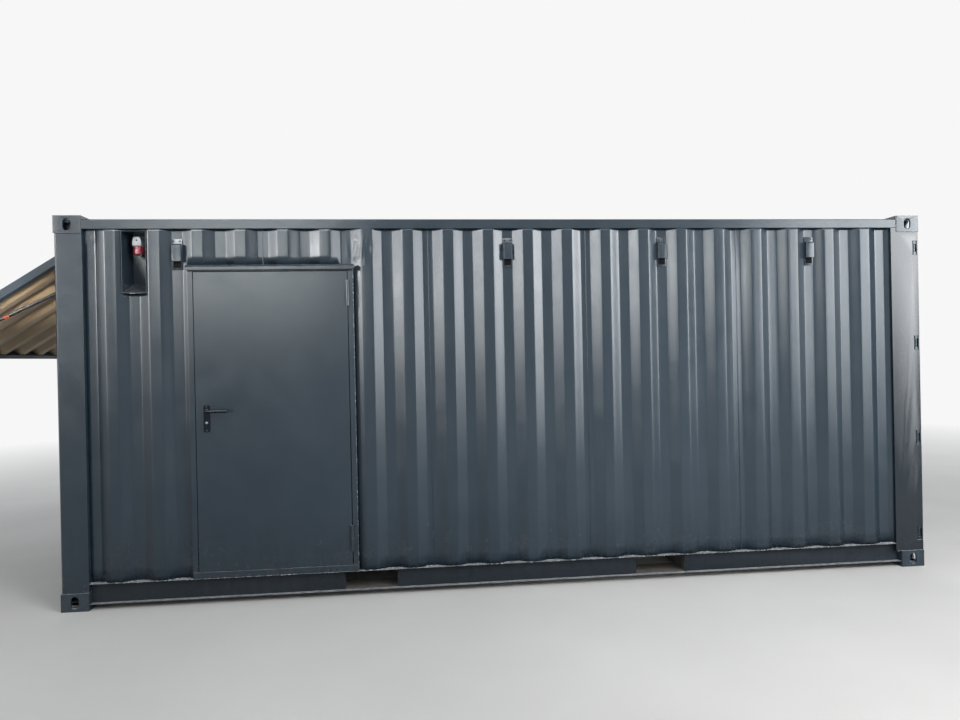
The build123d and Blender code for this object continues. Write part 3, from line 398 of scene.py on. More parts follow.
def addTurned(bm, place, axis, outline, steps=24):
    # outline of (distance along the axis, radius), spun round the axis
    # it ends on the axis and is closed at its foot, or else is closed as a ring
    matrix = Matrix.Translation(place) @ Vector(axis).to_track_quat("Z", "Y").to_matrix().to_4x4()
    ring = outline[-1][1] > 0
    if not ring and outline[0][1] > 0:
        outline = [(outline[0][0], 0.0)] + outline
    verts = [bm.verts.new((radius, 0.0, along)) for along, radius in outline]
    edges = [bm.edges.new(pair) for pair in zip(verts, verts[1:])]
    if ring:
        edges.append(bm.edges.new((verts[-1], verts[0])))
    spun = bmesh.ops.spin(bm, geom=verts + edges, cent=(0, 0, 0), axis=(0, 0, 1), dvec=(0, 0, 0),
                          angle=math.radians(360), steps=steps, use_merge=True, use_duplicate=False)
    turned = {one for one in spun["geom_last"] if isinstance(one, bmesh.types.BMVert)}
    seen = set(verts) | turned
    queue = [vert for vert in seen if vert.is_valid]
    while queue:
        vert = queue.pop()
        for edge in vert.link_edges:
            other = edge.other_vert(vert)
            if other not in seen:
                seen.add(other)
                queue.append(other)
    found = [vert for vert in seen if vert.is_valid]
    bmesh.ops.remove_doubles(bm, verts=found, dist=touching)
    found = [vert for vert in found if vert.is_valid]
    bmesh.ops.transform(bm, matrix=matrix, verts=found)


def addScrew(bm, place, axis, radius):
    # low dome head over a thin washer
    addTurned(bm, place, axis, [
        (0.0, radius * 1.7), (radius * 0.22, radius * 1.7), (radius * 0.3, radius * 1.6),
        (radius * 0.3, radius), (radius * 0.75, radius * 0.86), (radius * 0.95, radius * 0.5),
        (radius * 0.95, radius * 0.34), (radius * 0.5, radius * 0.3), (radius * 0.5, 0.0),
    ], 12)


def addBead(bm, start, end, radius, step, uneven=0.35):
    # rings along a line, each of its own size, as a hand-laid weld
    start, end = Vector(start), Vector(end)
    way = end - start
    count = max(2, int(way.length / step))
    matrix = Matrix.Translation(start) @ way.to_track_quat("Z", "Y").to_matrix().to_4x4()
    ring = bmesh.ops.create_circle(bm, segments=6, radius=radius, matrix=matrix)["verts"]
    for index in range(count):
        edges = [edge for edge in {edge for vert in ring for edge in vert.link_edges}
                 if edge.verts[0] in ring and edge.verts[1] in ring]
        grown = bmesh.ops.extrude_edge_only(bm, edges=edges)
        ring = [one for one in grown["geom"] if isinstance(one, bmesh.types.BMVert)]
        middle = start + way * ((index + 1) / count)
        size = radius * (1.0 + random.uniform(-uneven, uneven))
        for vert in ring:
            away = vert.co - (start + way * (index / count))
            away -= away.project(way)
            vert.co = middle + away.normalized() * size


# Corrugated sheets

# outer and inner flats, the slopes between them, and where one inner flat has its middle
wallRib = {"outer": 0.072, "inner": 0.070, "slope": 0.068, "depth": 0.036, "centre": -0.036, "bend": 0.0045}
endRib = {"outer": 0.110, "inner": 0.104, "slope": 0.018, "depth": 0.045, "centre": 0.0, "bend": 0.006}
hatchRib = dict(wallRib, centre=0.0)
roofRib = {"outer": 0.090, "inner": 0.067, "slope": 0.026, "depth": 0.020, "centre": 0.0, "bend": 0.005}
sheet = {"thick": 0.002, "shake": 0.002, "wide": 0.03}


def ribStep(rib):
    return rib["outer"] + rib["inner"] + 2 * rib["slope"]


def ribCorners(rib, start, end):
    # (place along the wall, depth) of each bend from start to end
    step = ribStep(rib)
    first = math.floor((start - rib["centre"]) / step) - 1
    last = math.ceil((end - rib["centre"]) / step) + 2
    corners = []
    for index in range(first, last):
        middle = rib["centre"] + index * step
        near = rib["inner"] / 2
        far = near + rib["slope"]
        depth = rib["depth"]
        corners += [(middle - far, 0.0), (middle - near, depth), (middle + near, depth), (middle + far, 0.0)]
    ends = []
    for place in (start, end):
        for (a, deepA), (b, deepB) in zip(corners, corners[1:]):
            if a <= place <= b:
                ends.append((place, deepA + (deepB - deepA) * (place - a) / (b - a)))
                break
    inside = [corner for corner in corners if start + 0.001 < corner[0] < end - 0.001]
    return [ends[0]] + inside + [ends[1]]


def isLevel(edge):
    return abs(edge.verts[0].co.z - edge.verts[1].co.z) < 0.001


def ribbedSheet(corners, low, high, rows, bend, shake=sheet["shake"]):
    # drawn with X along the wall, Y into it and Z up; rounded bends, each up to shake out of place
    bm = bmesh.new()
    verts = []
    for index, (along, deep) in enumerate(corners):
        loose = 0.0 if index in (0, len(corners) - 1) else shake
        verts.append(bm.verts.new((along + random.uniform(-loose, loose), deep, low)))
    edges = [bm.edges.new(pair) for pair in zip(verts, verts[1:])]
    grown = bmesh.ops.extrude_edge_only(bm, edges=edges)
    top = [one for one in grown["geom"] if isinstance(one, bmesh.types.BMVert)]
    bmesh.ops.translate(bm, verts=top, vec=(0, 0, high - low))
    bends = [edge for edge in bm.edges if len(edge.link_faces) == 2]
    bmesh.ops.bevel(bm, geom=bends, offset=bend, segments=3, profile=0.5, affect="EDGES", material=-1)
    wide = [edge for edge in bm.edges if isLevel(edge) and edge.calc_length() > sheet["wide"]]
    bmesh.ops.subdivide_edges(bm, edges=wide, cuts=2, use_grid_fill=True)
    upright = [edge for edge in bm.edges if not isLevel(edge)]
    bmesh.ops.subdivide_edges(bm, edges=upright, cuts=rows - 1, use_grid_fill=True)
    return bm


def cutOpening(bm, left, right, low, high):
    for normal, at in (((1, 0, 0), left), ((1, 0, 0), right), ((0, 0, 1), low), ((0, 0, 1), high)):
        everything = bm.verts[:] + bm.edges[:] + bm.faces[:]
        bmesh.ops.bisect_plane(bm, geom=everything, plane_co=Vector(normal) * at, plane_no=normal,
                               dist=touching)
    inside = []
    for face in bm.faces:
        middle = face.calc_center_median()
        if left < middle.x < right and low < middle.z < high:
            inside.append(face)
    bmesh.ops.delete(bm, geom=inside, context="FACES")


def sway(bm, seed, most=0.0012):
    # shallow waves over the whole sheet
    for vert in bm.verts:
        place = Vector((vert.co.x * 1.9, vert.co.z * 1.3, seed))
        vert.co.y += most * noise.noise(place)


def sheetPiece(name, bm, place, outward, body, finishes, replaced):
    # place turns the drawn sheet into the frame; outward is the side that the paint faces
    for vert in bm.verts:
        vert.co = place(vert.co)
    piece = finishPiece(name, bm, body, finishes, 50)
    mesh = piece.data
    facing = sum((face.normal * face.area for face in mesh.polygons), Vector())
    if facing.dot(Vector(outward)) < 0:
        mesh.flip_normals()
    solid = piece.modifiers.new("sheet", "SOLIDIFY")
    solid.thickness = sheet["thick"]
    solid.offset = -1.0
    solid.use_even_offset = True
    solid.material_offset = len(finishes) - 1
    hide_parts(*replaced)
    return piece


wall = {"face": -1.215, "low": 0.175, "high": 2.503, "left": -2.851, "right": 2.811}
endWall = {"face": -3.025, "half": 1.057, "low": 0.175, "high": 1.118}
hatch = {
    "face": -3.005,
    "half": 0.998,
    "low": 1.187,
    "high": 2.328,
    "hinge": (-3.012, 0.0, 2.405),
    "raised": 57.5,
}
doorway = {"left": -2.190, "right": -1.105, "top": 2.252}
niche = {"left": -2.606, "right": -2.449, "low": 2.080, "high": 2.490}
dents = (  # crumpled sheet right of the door's head, and knocks by the left post
    {"x": -1.05, "z": 2.36, "radius": 0.13, "depth": 0.008},
    {"x": -2.79, "z": 2.455, "radius": 0.05, "depth": 0.0035},
)
seams = {
    "places": (-0.592, 0.520, 1.632),
    "half": 0.035,
    "turned": {1.632: 0.0026},  # this valley came out askew and faces the right
    "bead": 0.0028,
}


def turnValleys(bm):
    # tilts a valley, less and less towards its head
    for place, deep in seams["turned"].items():
        for vert in bm.verts:
            away = (vert.co.x - place) / seams["half"]
            if abs(away) < 1.35:
                upper = min(1.0, max(0.0, (2.50 - vert.co.z) / 0.25))
                vert.co.y += deep * away * upper


def crumple(bm, spot):
    # finer mesh and small folds, strongest in the middle of the spot
    near = []
    for face in bm.faces:
        middle = face.calc_center_median()
        if math.hypot(middle.x - spot["x"], middle.z - spot["z"]) < spot["radius"] * 1.25:
            near.append(face)
    edges = list({edge for face in near for edge in face.edges if edge.calc_length() > 0.012})
    bmesh.ops.subdivide_edges(bm, edges=edges, cuts=3, use_grid_fill=True)
    for vert in bm.verts:
        away = math.hypot(vert.co.x - spot["x"], vert.co.z - spot["z"]) / spot["radius"]
        if away < 1.0:
            place = Vector((vert.co.x * 17.0, vert.co.z * 9.0, 3.0))
            fold = noise.fractal(place, 0.9, 2.0, 3)
            vert.co.y += spot["depth"] * (1 - away * away) ** 2 * (0.25 + fold)


def wallSheet(rows):
    corners = ribCorners(wallRib, wall["left"], wall["right"])
    return ribbedSheet(corners, wall["low"], wall["high"], rows, wallRib["bend"])


def frontPlace(at):
    return Vector((at.x, wall["face"] + at.y, at.z))


def backPlace(at):
    return Vector((at.x, -wall["face"] - at.y, at.z))


def endPlace(at):
    return Vector((endWall["face"] + at.y, -at.x, at.z))


hatchHinge = Vector(hatch["hinge"])
hatchTurn = Matrix.Translation(hatchHinge) @ Matrix.Rotation(math.radians(hatch["raised"]), 4, "Y")
hatchTurn = hatchTurn @ Matrix.Translation(-hatchHinge)


def hatchPlace(at):
    # placed as if closed, then raised
    return hatchTurn @ Vector((hatch["face"] + at.y, -at.x, at.z))


bothSides = ["paint", "beige"]
frontSheet = wallSheet(26)
cutOpening(frontSheet, doorway["left"], doorway["right"], wall["low"] - 0.01, doorway["top"])
cutOpening(frontSheet, niche["left"], niche["right"], niche["low"], niche["high"])
turnValleys(frontSheet)
sway(frontSheet, 1.0)
for spot in dents:
    crumple(frontSheet, spot)
sheetPiece("sheet_front", frontSheet, frontPlace, (0, -1, 0), "container", bothSides,
           ["front_wall_left", "front_wall_over_door", "front_wall_right"])

backSheet = wallSheet(20)
turnValleys(backSheet)
sway(backSheet, 9.0)
sheetPiece("sheet_back", backSheet, backPlace, (0, 1, 0), "container", bothSides,
           ["back_wall"])

endLine = ribCorners(endRib, -endWall["half"], endWall["half"])
endSheet = ribbedSheet(endLine, endWall["low"], endWall["high"], 12, endRib["bend"])
sway(endSheet, 4.0)
sheetPiece("sheet_left_end", endSheet, endPlace, (-1, 0, 0), "container", bothSides,
           ["left_end_wall"])

hatchLine = ribCorners(hatchRib, -hatch["half"], hatch["half"])
hatchSheet = ribbedSheet(hatchLine, hatch["low"], hatch["high"], 14, hatchRib["bend"])
sway(hatchSheet, 6.0, 0.002)
sheetPiece("sheet_hatch", hatchSheet, hatchPlace, (-0.5, 0, 0.8), "hatch", bothSides,
           ["hatch_panel"])

roofSheet = {"edge": 2.791, "end": 2.851, "side": 1.215, "top": 2.585, "flatFrom": 1.13, "flatBy": 1.175}


def roofPlace(at):
    # laid flat, its ribs running out before the side rails
    share = (abs(at.z) - roofSheet["flatFrom"]) / (roofSheet["flatBy"] - roofSheet["flatFrom"])
    share = min(1.0, max(0.0, share))
    deep = at.y + (roofRib["depth"] - at.y) * share
    return Vector((at.x, at.z, roofSheet["top"] - deep))


roofLine = ribCorners(roofRib, -roofSheet["edge"], roofSheet["edge"])
roofLine[0] = (roofLine[0][0], roofRib["depth"])
roofLine[-1] = (roofLine[-1][0], roofRib["depth"])
roofLine = [(-roofSheet["end"], roofRib["depth"])] + roofLine + [(roofSheet["end"], roofRib["depth"])]
roofMesh = ribbedSheet(roofLine, -roofSheet["side"], roofSheet["side"], 36, roofRib["bend"], 0.001)
sheetPiece("sheet_roof", roofMesh, roofPlace, (0, 0, 1), "container", bothSides,
           ["roof_panel"])
print("sheets ready")


# Framework: the CAD pieces with their edges rounded as rolled, folded or cast

edgeRadius = {
    "castings_top": 0.005,
    "castings_bottom": 0.005,
    "left_corner_posts": 0.004,
    "right_corner_posts": 0.003,
    "bottom_side_rails": 0.0018,
    "bottom_rail_bridges": 0.0018,
    "top_side_rails": 0.006,
    "left_end_sill": 0.005,
    "left_end_header": 0.005,
    "cargo_door_sill": 0.005,
    "cargo_door_header": 0.005,
    "cargo_frame_ends": 0.003,
    "roof_ends": 0.0006,
    "fork_pocket_sides": 0.001,
    "fork_pocket_straps": 0.001,
    "floor_boards": 0.002,
    "inlet_niche": 0.0012,
    "door_jambs": 0.002,
    "door_head": 0.002,
    "door_threshold": 0.002,
    "door_drip_cap": 0.001,
    "door_leaf": 0.0009,
    "door_hinge_pins": 0.0015,
    "door_leaf_knuckles": 0.0015,
    "hatch_jambs": 0.003,
    "hatch_lintel": 0.003,
    "hatch_header": 0.003,
    "counter_rail": 0.002,
    "hatch_side_tubes": 0.004,
    "hatch_cross_tubes": 0.004,
    "hatch_knuckles": 0.0015,
    "hatch_hinge_pins": 0.0015,
    "hatch_strut_brackets": 0.0012,
    "cargo_door_stiles": 0.004,
    "cargo_door_rails": 0.004,
    "cargo_door_panels": 0.004,
    "cargo_door_gaskets": 0.002,
    "cargo_door_hinges": 0.002,
    "cargo_hinge_pins": 0.0015,
    "cargo_lock_bars": 0.0015,
    "cargo_bar_keepers": 0.003,
    "door_handle_plates": 0.0032,
    "door_lever": 0.001,
    "strut_cylinder_front": 0.001,
    "strut_cylinder_back": 0.001,
    "strut_rod_front": 0.0008,
    "strut_rod_back": 0.0008,
}
ownFinish = {  # paints other than the plain gloss
    "bottom_side_rails": "shadedRail",
    "bottom_rail_bridges": "shadedRail",
    "castings_bottom": "satin",
    "right_corner_posts": "sleekShaded",
    "hatch_side_tubes": "satin",
    "hatch_cross_tubes": "satin",
}
for node, width in edgeRadius.items():
    roundedCopy(node, width, ownFinish.get(node))
print("framework ready")


# Vents: flange plate, two screws over the hood and one under it, hood open at its foot, louvre at the mouth;
# the hood's hollow, the mouth and the louvre are near-black painted shade

vent = {
    "bays": (-8, 0, 4, 8),
    "width": 0.066,
    "plateLow": 2.233,
    "plateHigh": 2.440,
    "hoodLow": 2.290,
    "hoodHigh": 2.408,
    "mouthLow": 2.249,
    "proud": 0.0052,
    "deep": 0.025,
    "lean": 0.011,
    "slats": 4,
    "screw": 0.0038,
    "hoodInset": 0.003,
    "hoodWall": 0.0022,
    "hollow": 0.06,
    "corner": 0.0028,
    "sunk": 0.001,
}


def addHood(bm, middle, back):
    # box with a leaning head, hollowed out from its foot
    made = bmesh.ops.create_cube(bm, size=1.0)
    front = back - vent["deep"]
    half = vent["width"] / 2 - vent["hoodInset"]
    for vert in made["verts"]:
        at = vert.co
        high = at.z > 0
        near = at.y < 0
        at.x = middle + (half if at.x > 0 else -half)
        at.z = vent["hoodHigh"] if high else vent["hoodLow"]
        at.y = front if near else back
        if high and near:
            at.z -= vent["lean"]
    edges = []
    foot = None
    for face in {face for vert in made["verts"] for face in vert.link_faces}:
        face.normal_update()
        if face.normal.z < -0.9:
            foot = face
    for edge in {edge for vert in made["verts"] for edge in vert.link_edges}:
        if foot not in edge.link_faces and min(vert.co.y for vert in edge.verts) < front + 0.001:
            edges.append(edge)
    bmesh.ops.inset_region(bm, faces=[foot], thickness=vent["hoodWall"], use_even_offset=True)
    hollow = bmesh.ops.extrude_discrete_faces(bm, faces=[foot])["faces"][0]
    bmesh.ops.translate(bm, verts=list(hollow.verts), vec=(0, 0, vent["hollow"]))
    # the hollow's faces take the near-black finish: painted shade under the hood
    for face in {face for vert in hollow.verts for face in vert.link_faces}:
        face.material_index = 1
    bmesh.ops.bevel(bm, geom=edges, offset=vent["corner"], segments=3, profile=0.5, affect="EDGES",
                    material=-1)


def addVent(bm, middle):
    half = vent["width"] / 2
    back = wall["face"] + wallRib["depth"] + vent["sunk"]
    face = back - vent["proud"] - vent["sunk"]
    addBlock(bm, (middle - half, face, vent["plateLow"]), (middle + half, back, vent["plateHigh"]), 0.0013)
    addHood(bm, middle, face + vent["sunk"])
    # the mouth is a near-black block on the plate, and the louvre slats are near-black too: painted shade in
    # the opening
    mouth = (vent["mouthLow"], vent["hoodLow"] + 0.002)
    finished(bm, 1, addBlock, (middle - half + 0.008, face - 0.0012, mouth[0]),
             (middle + half - 0.008, face + 0.001, mouth[1]), 0.0005)
    for index in range(vent["slats"]):
        level = mouth[0] + (index + 0.5) * (mouth[1] - mouth[0]) / vent["slats"]
        finished(bm, 1, addBlock, (middle - half + 0.009, face - 0.005, level - 0.0012),
                 (middle + half - 0.009, face, level + 0.0008), 0.0003, 1)
    for across in (-0.6, 0.6):
        place = (middle + across * half, face, (vent["plateHigh"] + vent["hoodHigh"]) / 2)
        finished(bm, 2, addScrew, place, (0, -1, 0), vent["screw"])
    place = (middle, face, (vent["plateLow"] + vent["mouthLow"]) / 2)
    finished(bm, 2, addScrew, place, (0, -1, 0), vent["screw"])


def ventPiece(name, turn):
    bm = bmesh.new()
    for bay in vent["bays"]:
        addVent(bm, wallRib["centre"] + bay * ribStep(wallRib))
    bmesh.ops.transform(bm, matrix=turn, verts=bm.verts[:])
    return finishPiece(name, bm, "container", ["paint", "shade", "screw"])


frontVents = ventPiece("vents_front", Matrix.Identity(4))
backVents = ventPiece("vents_back", Matrix.Scale(-1.0, 4, (0, 1, 0)))
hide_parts("vents")
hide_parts("vents")
print("vents ready")


# Power inlet: tapered grey housing with its screw, red collar open downward, pins inside

inlet = {
    "middle": (-2.5275, -1.121),
    "half": 0.031,
    "front": -1.158,
    "back": -1.018,
    "low": 2.399,
    "shoulder": 2.428,
    "high": 2.463,
    "taper": 0.66,
    "collarLow": 2.345,
    "collar": 0.035,
    "bore": 0.027,
    "pins": 5,
    "pin": 0.0028,
    "pinRing": 0.015,
    "pinRoot": 0.013,
    "screw": 0.0036,
    "flange": 0.036,
}


def inletHousing():
    bm = bmesh.new()
    made = bmesh.ops.create_cube(bm, size=1.0)
    middle = inlet["middle"][0]
    for vert in made["verts"]:
        vert.co.x = middle + 2 * vert.co.x * inlet["half"]
        vert.co.y = inlet["front"] if vert.co.y < 0 else inlet["back"]
        vert.co.z = inlet["shoulder"] if vert.co.z > 0 else inlet["low"]
    top = [face for face in bm.faces if face.calc_center_median().z > inlet["shoulder"] - 0.0001]
    crown = bmesh.ops.extrude_discrete_faces(bm, faces=top)["faces"][0]
    for vert in crown.verts:
        vert.co.z = inlet["high"]
        vert.co.x = middle + (vert.co.x - middle) * inlet["taper"]
    bmesh.ops.bevel(bm, geom=bm.edges[:], offset=0.006, segments=4, profile=0.5, affect="EDGES", material=-1)
    screw = (middle, inlet["front"] + 0.0004, inlet["shoulder"] + 0.010)
    finished(bm, 1, addScrew, screw, (0, -1, 0), inlet["screw"])
    for level in (inlet["low"] + 0.004, inlet["low"] + 0.020):
        finished(bm, 0, addBlock, (middle - 0.027, inlet["front"] - 0.0006, level),
                 (middle + 0.027, inlet["front"] + 0.002, level + 0.0016), 0.0004, 1)
    finished(bm, 0, addBlock, (middle - inlet["flange"], inlet["back"] - 0.004, inlet["low"] - 0.004),
             (middle + inlet["flange"], inlet["back"], inlet["high"] + 0.004), 0.0015)
    piece = finishPiece("inlet_body", bm, "container", ["grey", "black"])
    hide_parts("inlet_housing")


def inletCollar():
    bm = bmesh.new()
    place = (*inlet["middle"], inlet["low"])
    deep = inlet["low"] - inlet["collarLow"]
    rim, bore = inlet["collar"], inlet["bore"]
    addTurned(bm, place, (0, 0, -1), [
        (0.0, 0.0), (0.0, rim - 0.004), (0.003, rim - 0.001), (0.012, rim - 0.001), (0.014, rim - 0.003),
        (0.018, rim - 0.003), (0.020, rim - 0.0005), (deep - 0.006, rim), (deep - 0.001, rim - 0.0006),
        (deep, rim - 0.002), (deep, bore + 0.001), (deep - 0.001, bore), (0.014, bore), (0.014, 0.0),
    ], 40)
    for index in range(inlet["pins"]):
        turn = math.radians(360 * index / inlet["pins"] + 20)
        around = Vector((math.cos(turn), math.sin(turn), 0.0)) * inlet["pinRing"]
        root = Vector(place) + around - Vector((0.0, 0.0, inlet["pinRoot"]))
        finished(bm, 2, addTurned, root, (0, 0, -1), [
            (0.0, inlet["pin"]), (0.020, inlet["pin"]), (0.022, inlet["pin"] * 0.6), (0.022, 0.0),
        ], 10)
    side = place[0] + rim - 0.012  # catch at the collar's right side
    finished(bm, 1, addBlock, (side - 0.006, place[1] - 0.032, inlet["collarLow"] - 0.016),
             (side + 0.011, place[1] + 0.022, inlet["collarLow"] + 0.002), 0.004, 3)
    piece = finishPiece("inlet_ring", bm, "container", ["red", "black", "zinc"])
    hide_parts("inlet_collar")


inletHousing()
inletCollar()
print("inlet ready")


# Door furniture: lock cylinder, plate screws, rose and rings on the lever

furniture = {
    "x": -2.080,
    "leverHeight": 1.289,
    "lockHeight": 1.212,
    "plateMiddle": 1.239,
    "outer": -1.230,
    "inner": -1.164,
    "armOut": -1.278,
    "armIn": -1.116,
    "armRadius": 0.010,
    "lock": 0.0088,
    "rose": 0.0165,
    "screw": 0.0032,
    "screwRise": 0.079,
    "ringPlaces": (0.028, 0.104, 0.122),
}


def lockTrim():
    bm = bmesh.new()
    for face, out in ((furniture["outer"], -1), (furniture["inner"], 1)):
        lock = (furniture["x"], face, furniture["lockHeight"])
        radius = furniture["lock"]
        finished(bm, 0, addTurned, lock, (0, out, 0), [
            (0.0, radius), (0.0035, radius), (0.0048, radius - 0.0012), (0.0048, radius - 0.0035),
            (0.0042, radius - 0.0042), (0.0042, 0.0),
        ], 24)
        # the keyway is a black bar on the lock's face: painted shade
        slot = sorted((face + out * 0.0036, face + out * 0.0046))
        finished(bm, 1, addBlock, (furniture["x"] - 0.0009, slot[0], furniture["lockHeight"] - 0.0045),
                 (furniture["x"] + 0.0009, slot[1], furniture["lockHeight"] + 0.0045), 0.0003, 1)
        for rise in (-furniture["screwRise"], furniture["screwRise"]):
            screw = (furniture["x"], face, furniture["plateMiddle"] + rise)
            finished(bm, 2, addScrew, screw, (0, out, 0), furniture["screw"])
        rose = (furniture["x"], face, furniture["leverHeight"])
        wide = furniture["rose"]
        finished(bm, 1, addTurned, rose, (0, out, 0), [
            (0.0, wide), (0.0025, wide), (0.0042, wide - 0.0015), (0.0050, wide - 0.0037),
            (0.0050, wide - 0.0061), (0.0, wide - 0.0061),
        ], 32)
    finishPiece("lock_trim", bm, "door", ["lock", "black", "screw"])


def leverRings():
    bm = bmesh.new()
    radius = furniture["armRadius"]
    for arm in (furniture["armOut"], furniture["armIn"]):
        for along in furniture["ringPlaces"]:
            place = (furniture["x"] + along, arm, furniture["leverHeight"])
            addTurned(bm, place, (1, 0, 0), [
                (0.0, radius - 0.001), (0.0, radius + 0.0006), (0.001, radius + 0.0012),
                (0.003, radius + 0.0012), (0.004, radius + 0.0006), (0.004, radius - 0.001),
            ], 24)
    finishPiece("lever_rings", bm, "lever", ["black"])


lockTrim()
leverRings()
print("door furniture ready")


# Gas struts: orange band and gland ring on each barrel

band = {
    "pivot": (-2.940, 2.196),
    "open": (-3.8924, 1.7398),
    "side": 0.975,
    "radius": 0.012,
    "at": 0.548,
    "long": 0.034,
    "gland": 0.802,
}


def strutTrim(body, side):
    start = Vector((band["pivot"][0], side, band["pivot"][1]))
    end = Vector((band["open"][0], side, band["open"][1]))
    way = (end - start).normalized()
    radius = band["radius"]
    bm = bmesh.new()
    finished(bm, 0, addTurned, start + way * band["at"], way, [
        (0.0, radius - 0.001), (0.0, radius + 0.0006), (band["long"], radius + 0.0006),
        (band["long"], radius - 0.001),
    ], 24)
    finished(bm, 1, addTurned, start + way * band["gland"], way, [
        (0.0, radius - 0.001), (0.0, radius + 0.0004), (0.007, radius + 0.0004), (0.009, radius - 0.001),
    ], 24)
    finishPiece("trim_" + body, bm, body, ["band", "rod"])


strutTrim("strut_front", -band["side"])
strutTrim("strut_back", band["side"])
print("struts ready")


# Welds and small fasteners

weld = {
    "frame": 0.0019,
    "foot": 0.0028,
    "step": 0.0065,
    "face": -1.2155,
    "castings": ((-3.027, -2.853), (2.812, 3.027)),
    "castingTop": 0.1185,
    "railTop": 0.1735,
    "frameTop": 2.236,
}


def weldLines():
    # door frame's right edge and foot, posts on their castings, wall on its rail
    left, right = doorway["left"], doorway["right"]
    edge, front = right + 0.0012, wall["face"] - 0.0023
    foot = wall["low"] - 0.0005
    lines = [
        ((edge, front, wall["low"] + 0.004), (edge, front, weld["frameTop"])),
        ((left, weld["face"] - 0.003, foot), (right, weld["face"] - 0.003, foot)),
    ]
    for x0, x1 in weld["castings"]:
        for y in (weld["face"], -weld["face"]):
            lines.append(((x0, y, weld["castingTop"]), (x1, y, weld["castingTop"])))
    for x0, x1 in ((wall["left"], left), (right, wall["right"])):
        lines.append(((x0, weld["face"], weld["railTop"]), (x1, weld["face"], weld["railTop"])))
    return lines


def footWeld(front):
    # follows the corrugated sheet along its foot
    corners = ribCorners(wallRib, wall["left"], wall["right"])
    lines = []
    for (x0, deep0), (x1, deep1) in zip(corners, corners[1:]):
        if front and x1 > doorway["left"] and x0 < doorway["right"]:
            continue
        y0, y1 = (wall["face"] + deep - 0.0026 for deep in (deep0, deep1))
        if not front:
            y0, y1 = -y0, -y1
        lines.append(((x0, y0, wall["low"] + 0.001), (x1, y1, wall["low"] + 0.001)))
    return lines


def beadPiece(name, lines, radius, step):
    bm = bmesh.new()
    for start, end in lines:
        addBead(bm, start, end, radius, step)
    return finishPiece(name, bm, "container", ["bead"], 80)


beadPiece("welds_frame", weldLines(), weld["frame"], weld["step"])
beadPiece("welds_foot_front", footWeld(True), weld["foot"], weld["step"])
beadPiece("welds_foot_back", footWeld(False), weld["foot"], weld["step"])


def seamPiece():
    # butt welds between the wall sheets
    bm = bmesh.new()
    places = [(place, side, wall["low"]) for place in seams["places"] for side in (-1, 1)]
    places.append((-1.704, -1, 2.263))
    for place, side, low in places:
        y = side * (-wall["face"] - wallRib["depth"] + 0.0004)
        addBead(bm, (place, y, low + 0.004), (place, y, wall["high"]), seams["bead"], 0.011, 0.18)
    finishPiece("welds_seam", bm, "container", ["paint"], 80)


seamPiece()


boardScrews = {
    "rows": 19,
    "first": -2.7,
    "apart": 0.3,
    "lines": 10,
    "half": 1.06,
    "top": 0.1925,
    "radius": 0.0055,
}


def floorScrews():
    bm = bmesh.new()
    radius = boardScrews["radius"]
    gap = 2 * boardScrews["half"] / (boardScrews["lines"] - 1)
    for row in range(boardScrews["rows"]):
        x = boardScrews["first"] + row * boardScrews["apart"]
        for line in range(boardScrews["lines"]):
            place = (x, line * gap - boardScrews["half"], boardScrews["top"])
            addTurned(bm, place, (0, 0, 1), [(-0.001, radius), (0.0004, radius), (0.0002, 0.0)], 8)
    finishPiece("floor_screws", bm, "container", ["zinc"])


floorScrews()
print("welds and fasteners ready")


# Hinge pockets in the cargo end's posts: a near-black lining at their back as painted shade, with a painted
# lip along the post's edge

pocket = {
    "levels": (0.244, 0.952, 1.652, 2.354),
    "half": 0.051,
    "inner": (2.975, 3.0235, 1.181, 1.179),  # left, right, near and far
    "lip": (3.017, 3.0245, 1.2145, 1.180),
}


def hingePockets():
    bm = bmesh.new()
    for level in pocket["levels"]:
        low, high = level - pocket["half"], level + pocket["half"]
        for side in (-1, 1):
            # the lining takes the near-black undercoat: painted shade in the pocket
            for index, part in ((1, "inner"), (0, "lip")):
                x0, x1, near, far = pocket[part]
                y0, y1 = sorted((side * near, side * far))
                finished(bm, index, addBlock, (x0, y0, low), (x1, y1, high), 0.0008, 1)
    finishPiece("hinge_pockets", bm, "container", ["paint", "undercoat"])


hingePockets()
print("hinge pockets ready")


# Camera and light

# metres, degrees and millimetres, from the photograph's own view
view = {"place": (-0.729, -5.957, 1.604), "yaw": 5.79, "pitch": -0.155, "roll": -1.181, "lens": 25.82}
plain = (1.0, 1.0, 1.0)
daylight = (0.96, 0.985, 1.0)
window = (0.97, 1.0, 0.96)
warm = (1.0, 0.95, 0.88)


def photographCamera():
    yaw, pitch, roll = (math.radians(view[key]) for key in ("yaw", "pitch", "roll"))
    forward = Vector((math.sin(yaw) * math.cos(pitch), math.cos(yaw) * math.cos(pitch), math.sin(pitch)))
    right = Vector((math.cos(yaw), -math.sin(yaw), 0.0))
    up = right.cross(forward)
    turnedRight = right * math.cos(roll) + up * math.sin(roll)
    turnedUp = up * math.cos(roll) - right * math.sin(roll)
    data = bpy.data.cameras.new("camera")
    data.lens = view["lens"]
    data.sensor_width = 36.0
    data.clip_end = 200.0
    camera = bpy.data.objects.new("camera", data)
    matrix = Matrix((turnedRight, turnedUp, -forward)).transposed().to_4x4()
    matrix.translation = view["place"]
    camera.matrix_world = matrix
    scene.collection.objects.link(camera)
    scene.camera = camera


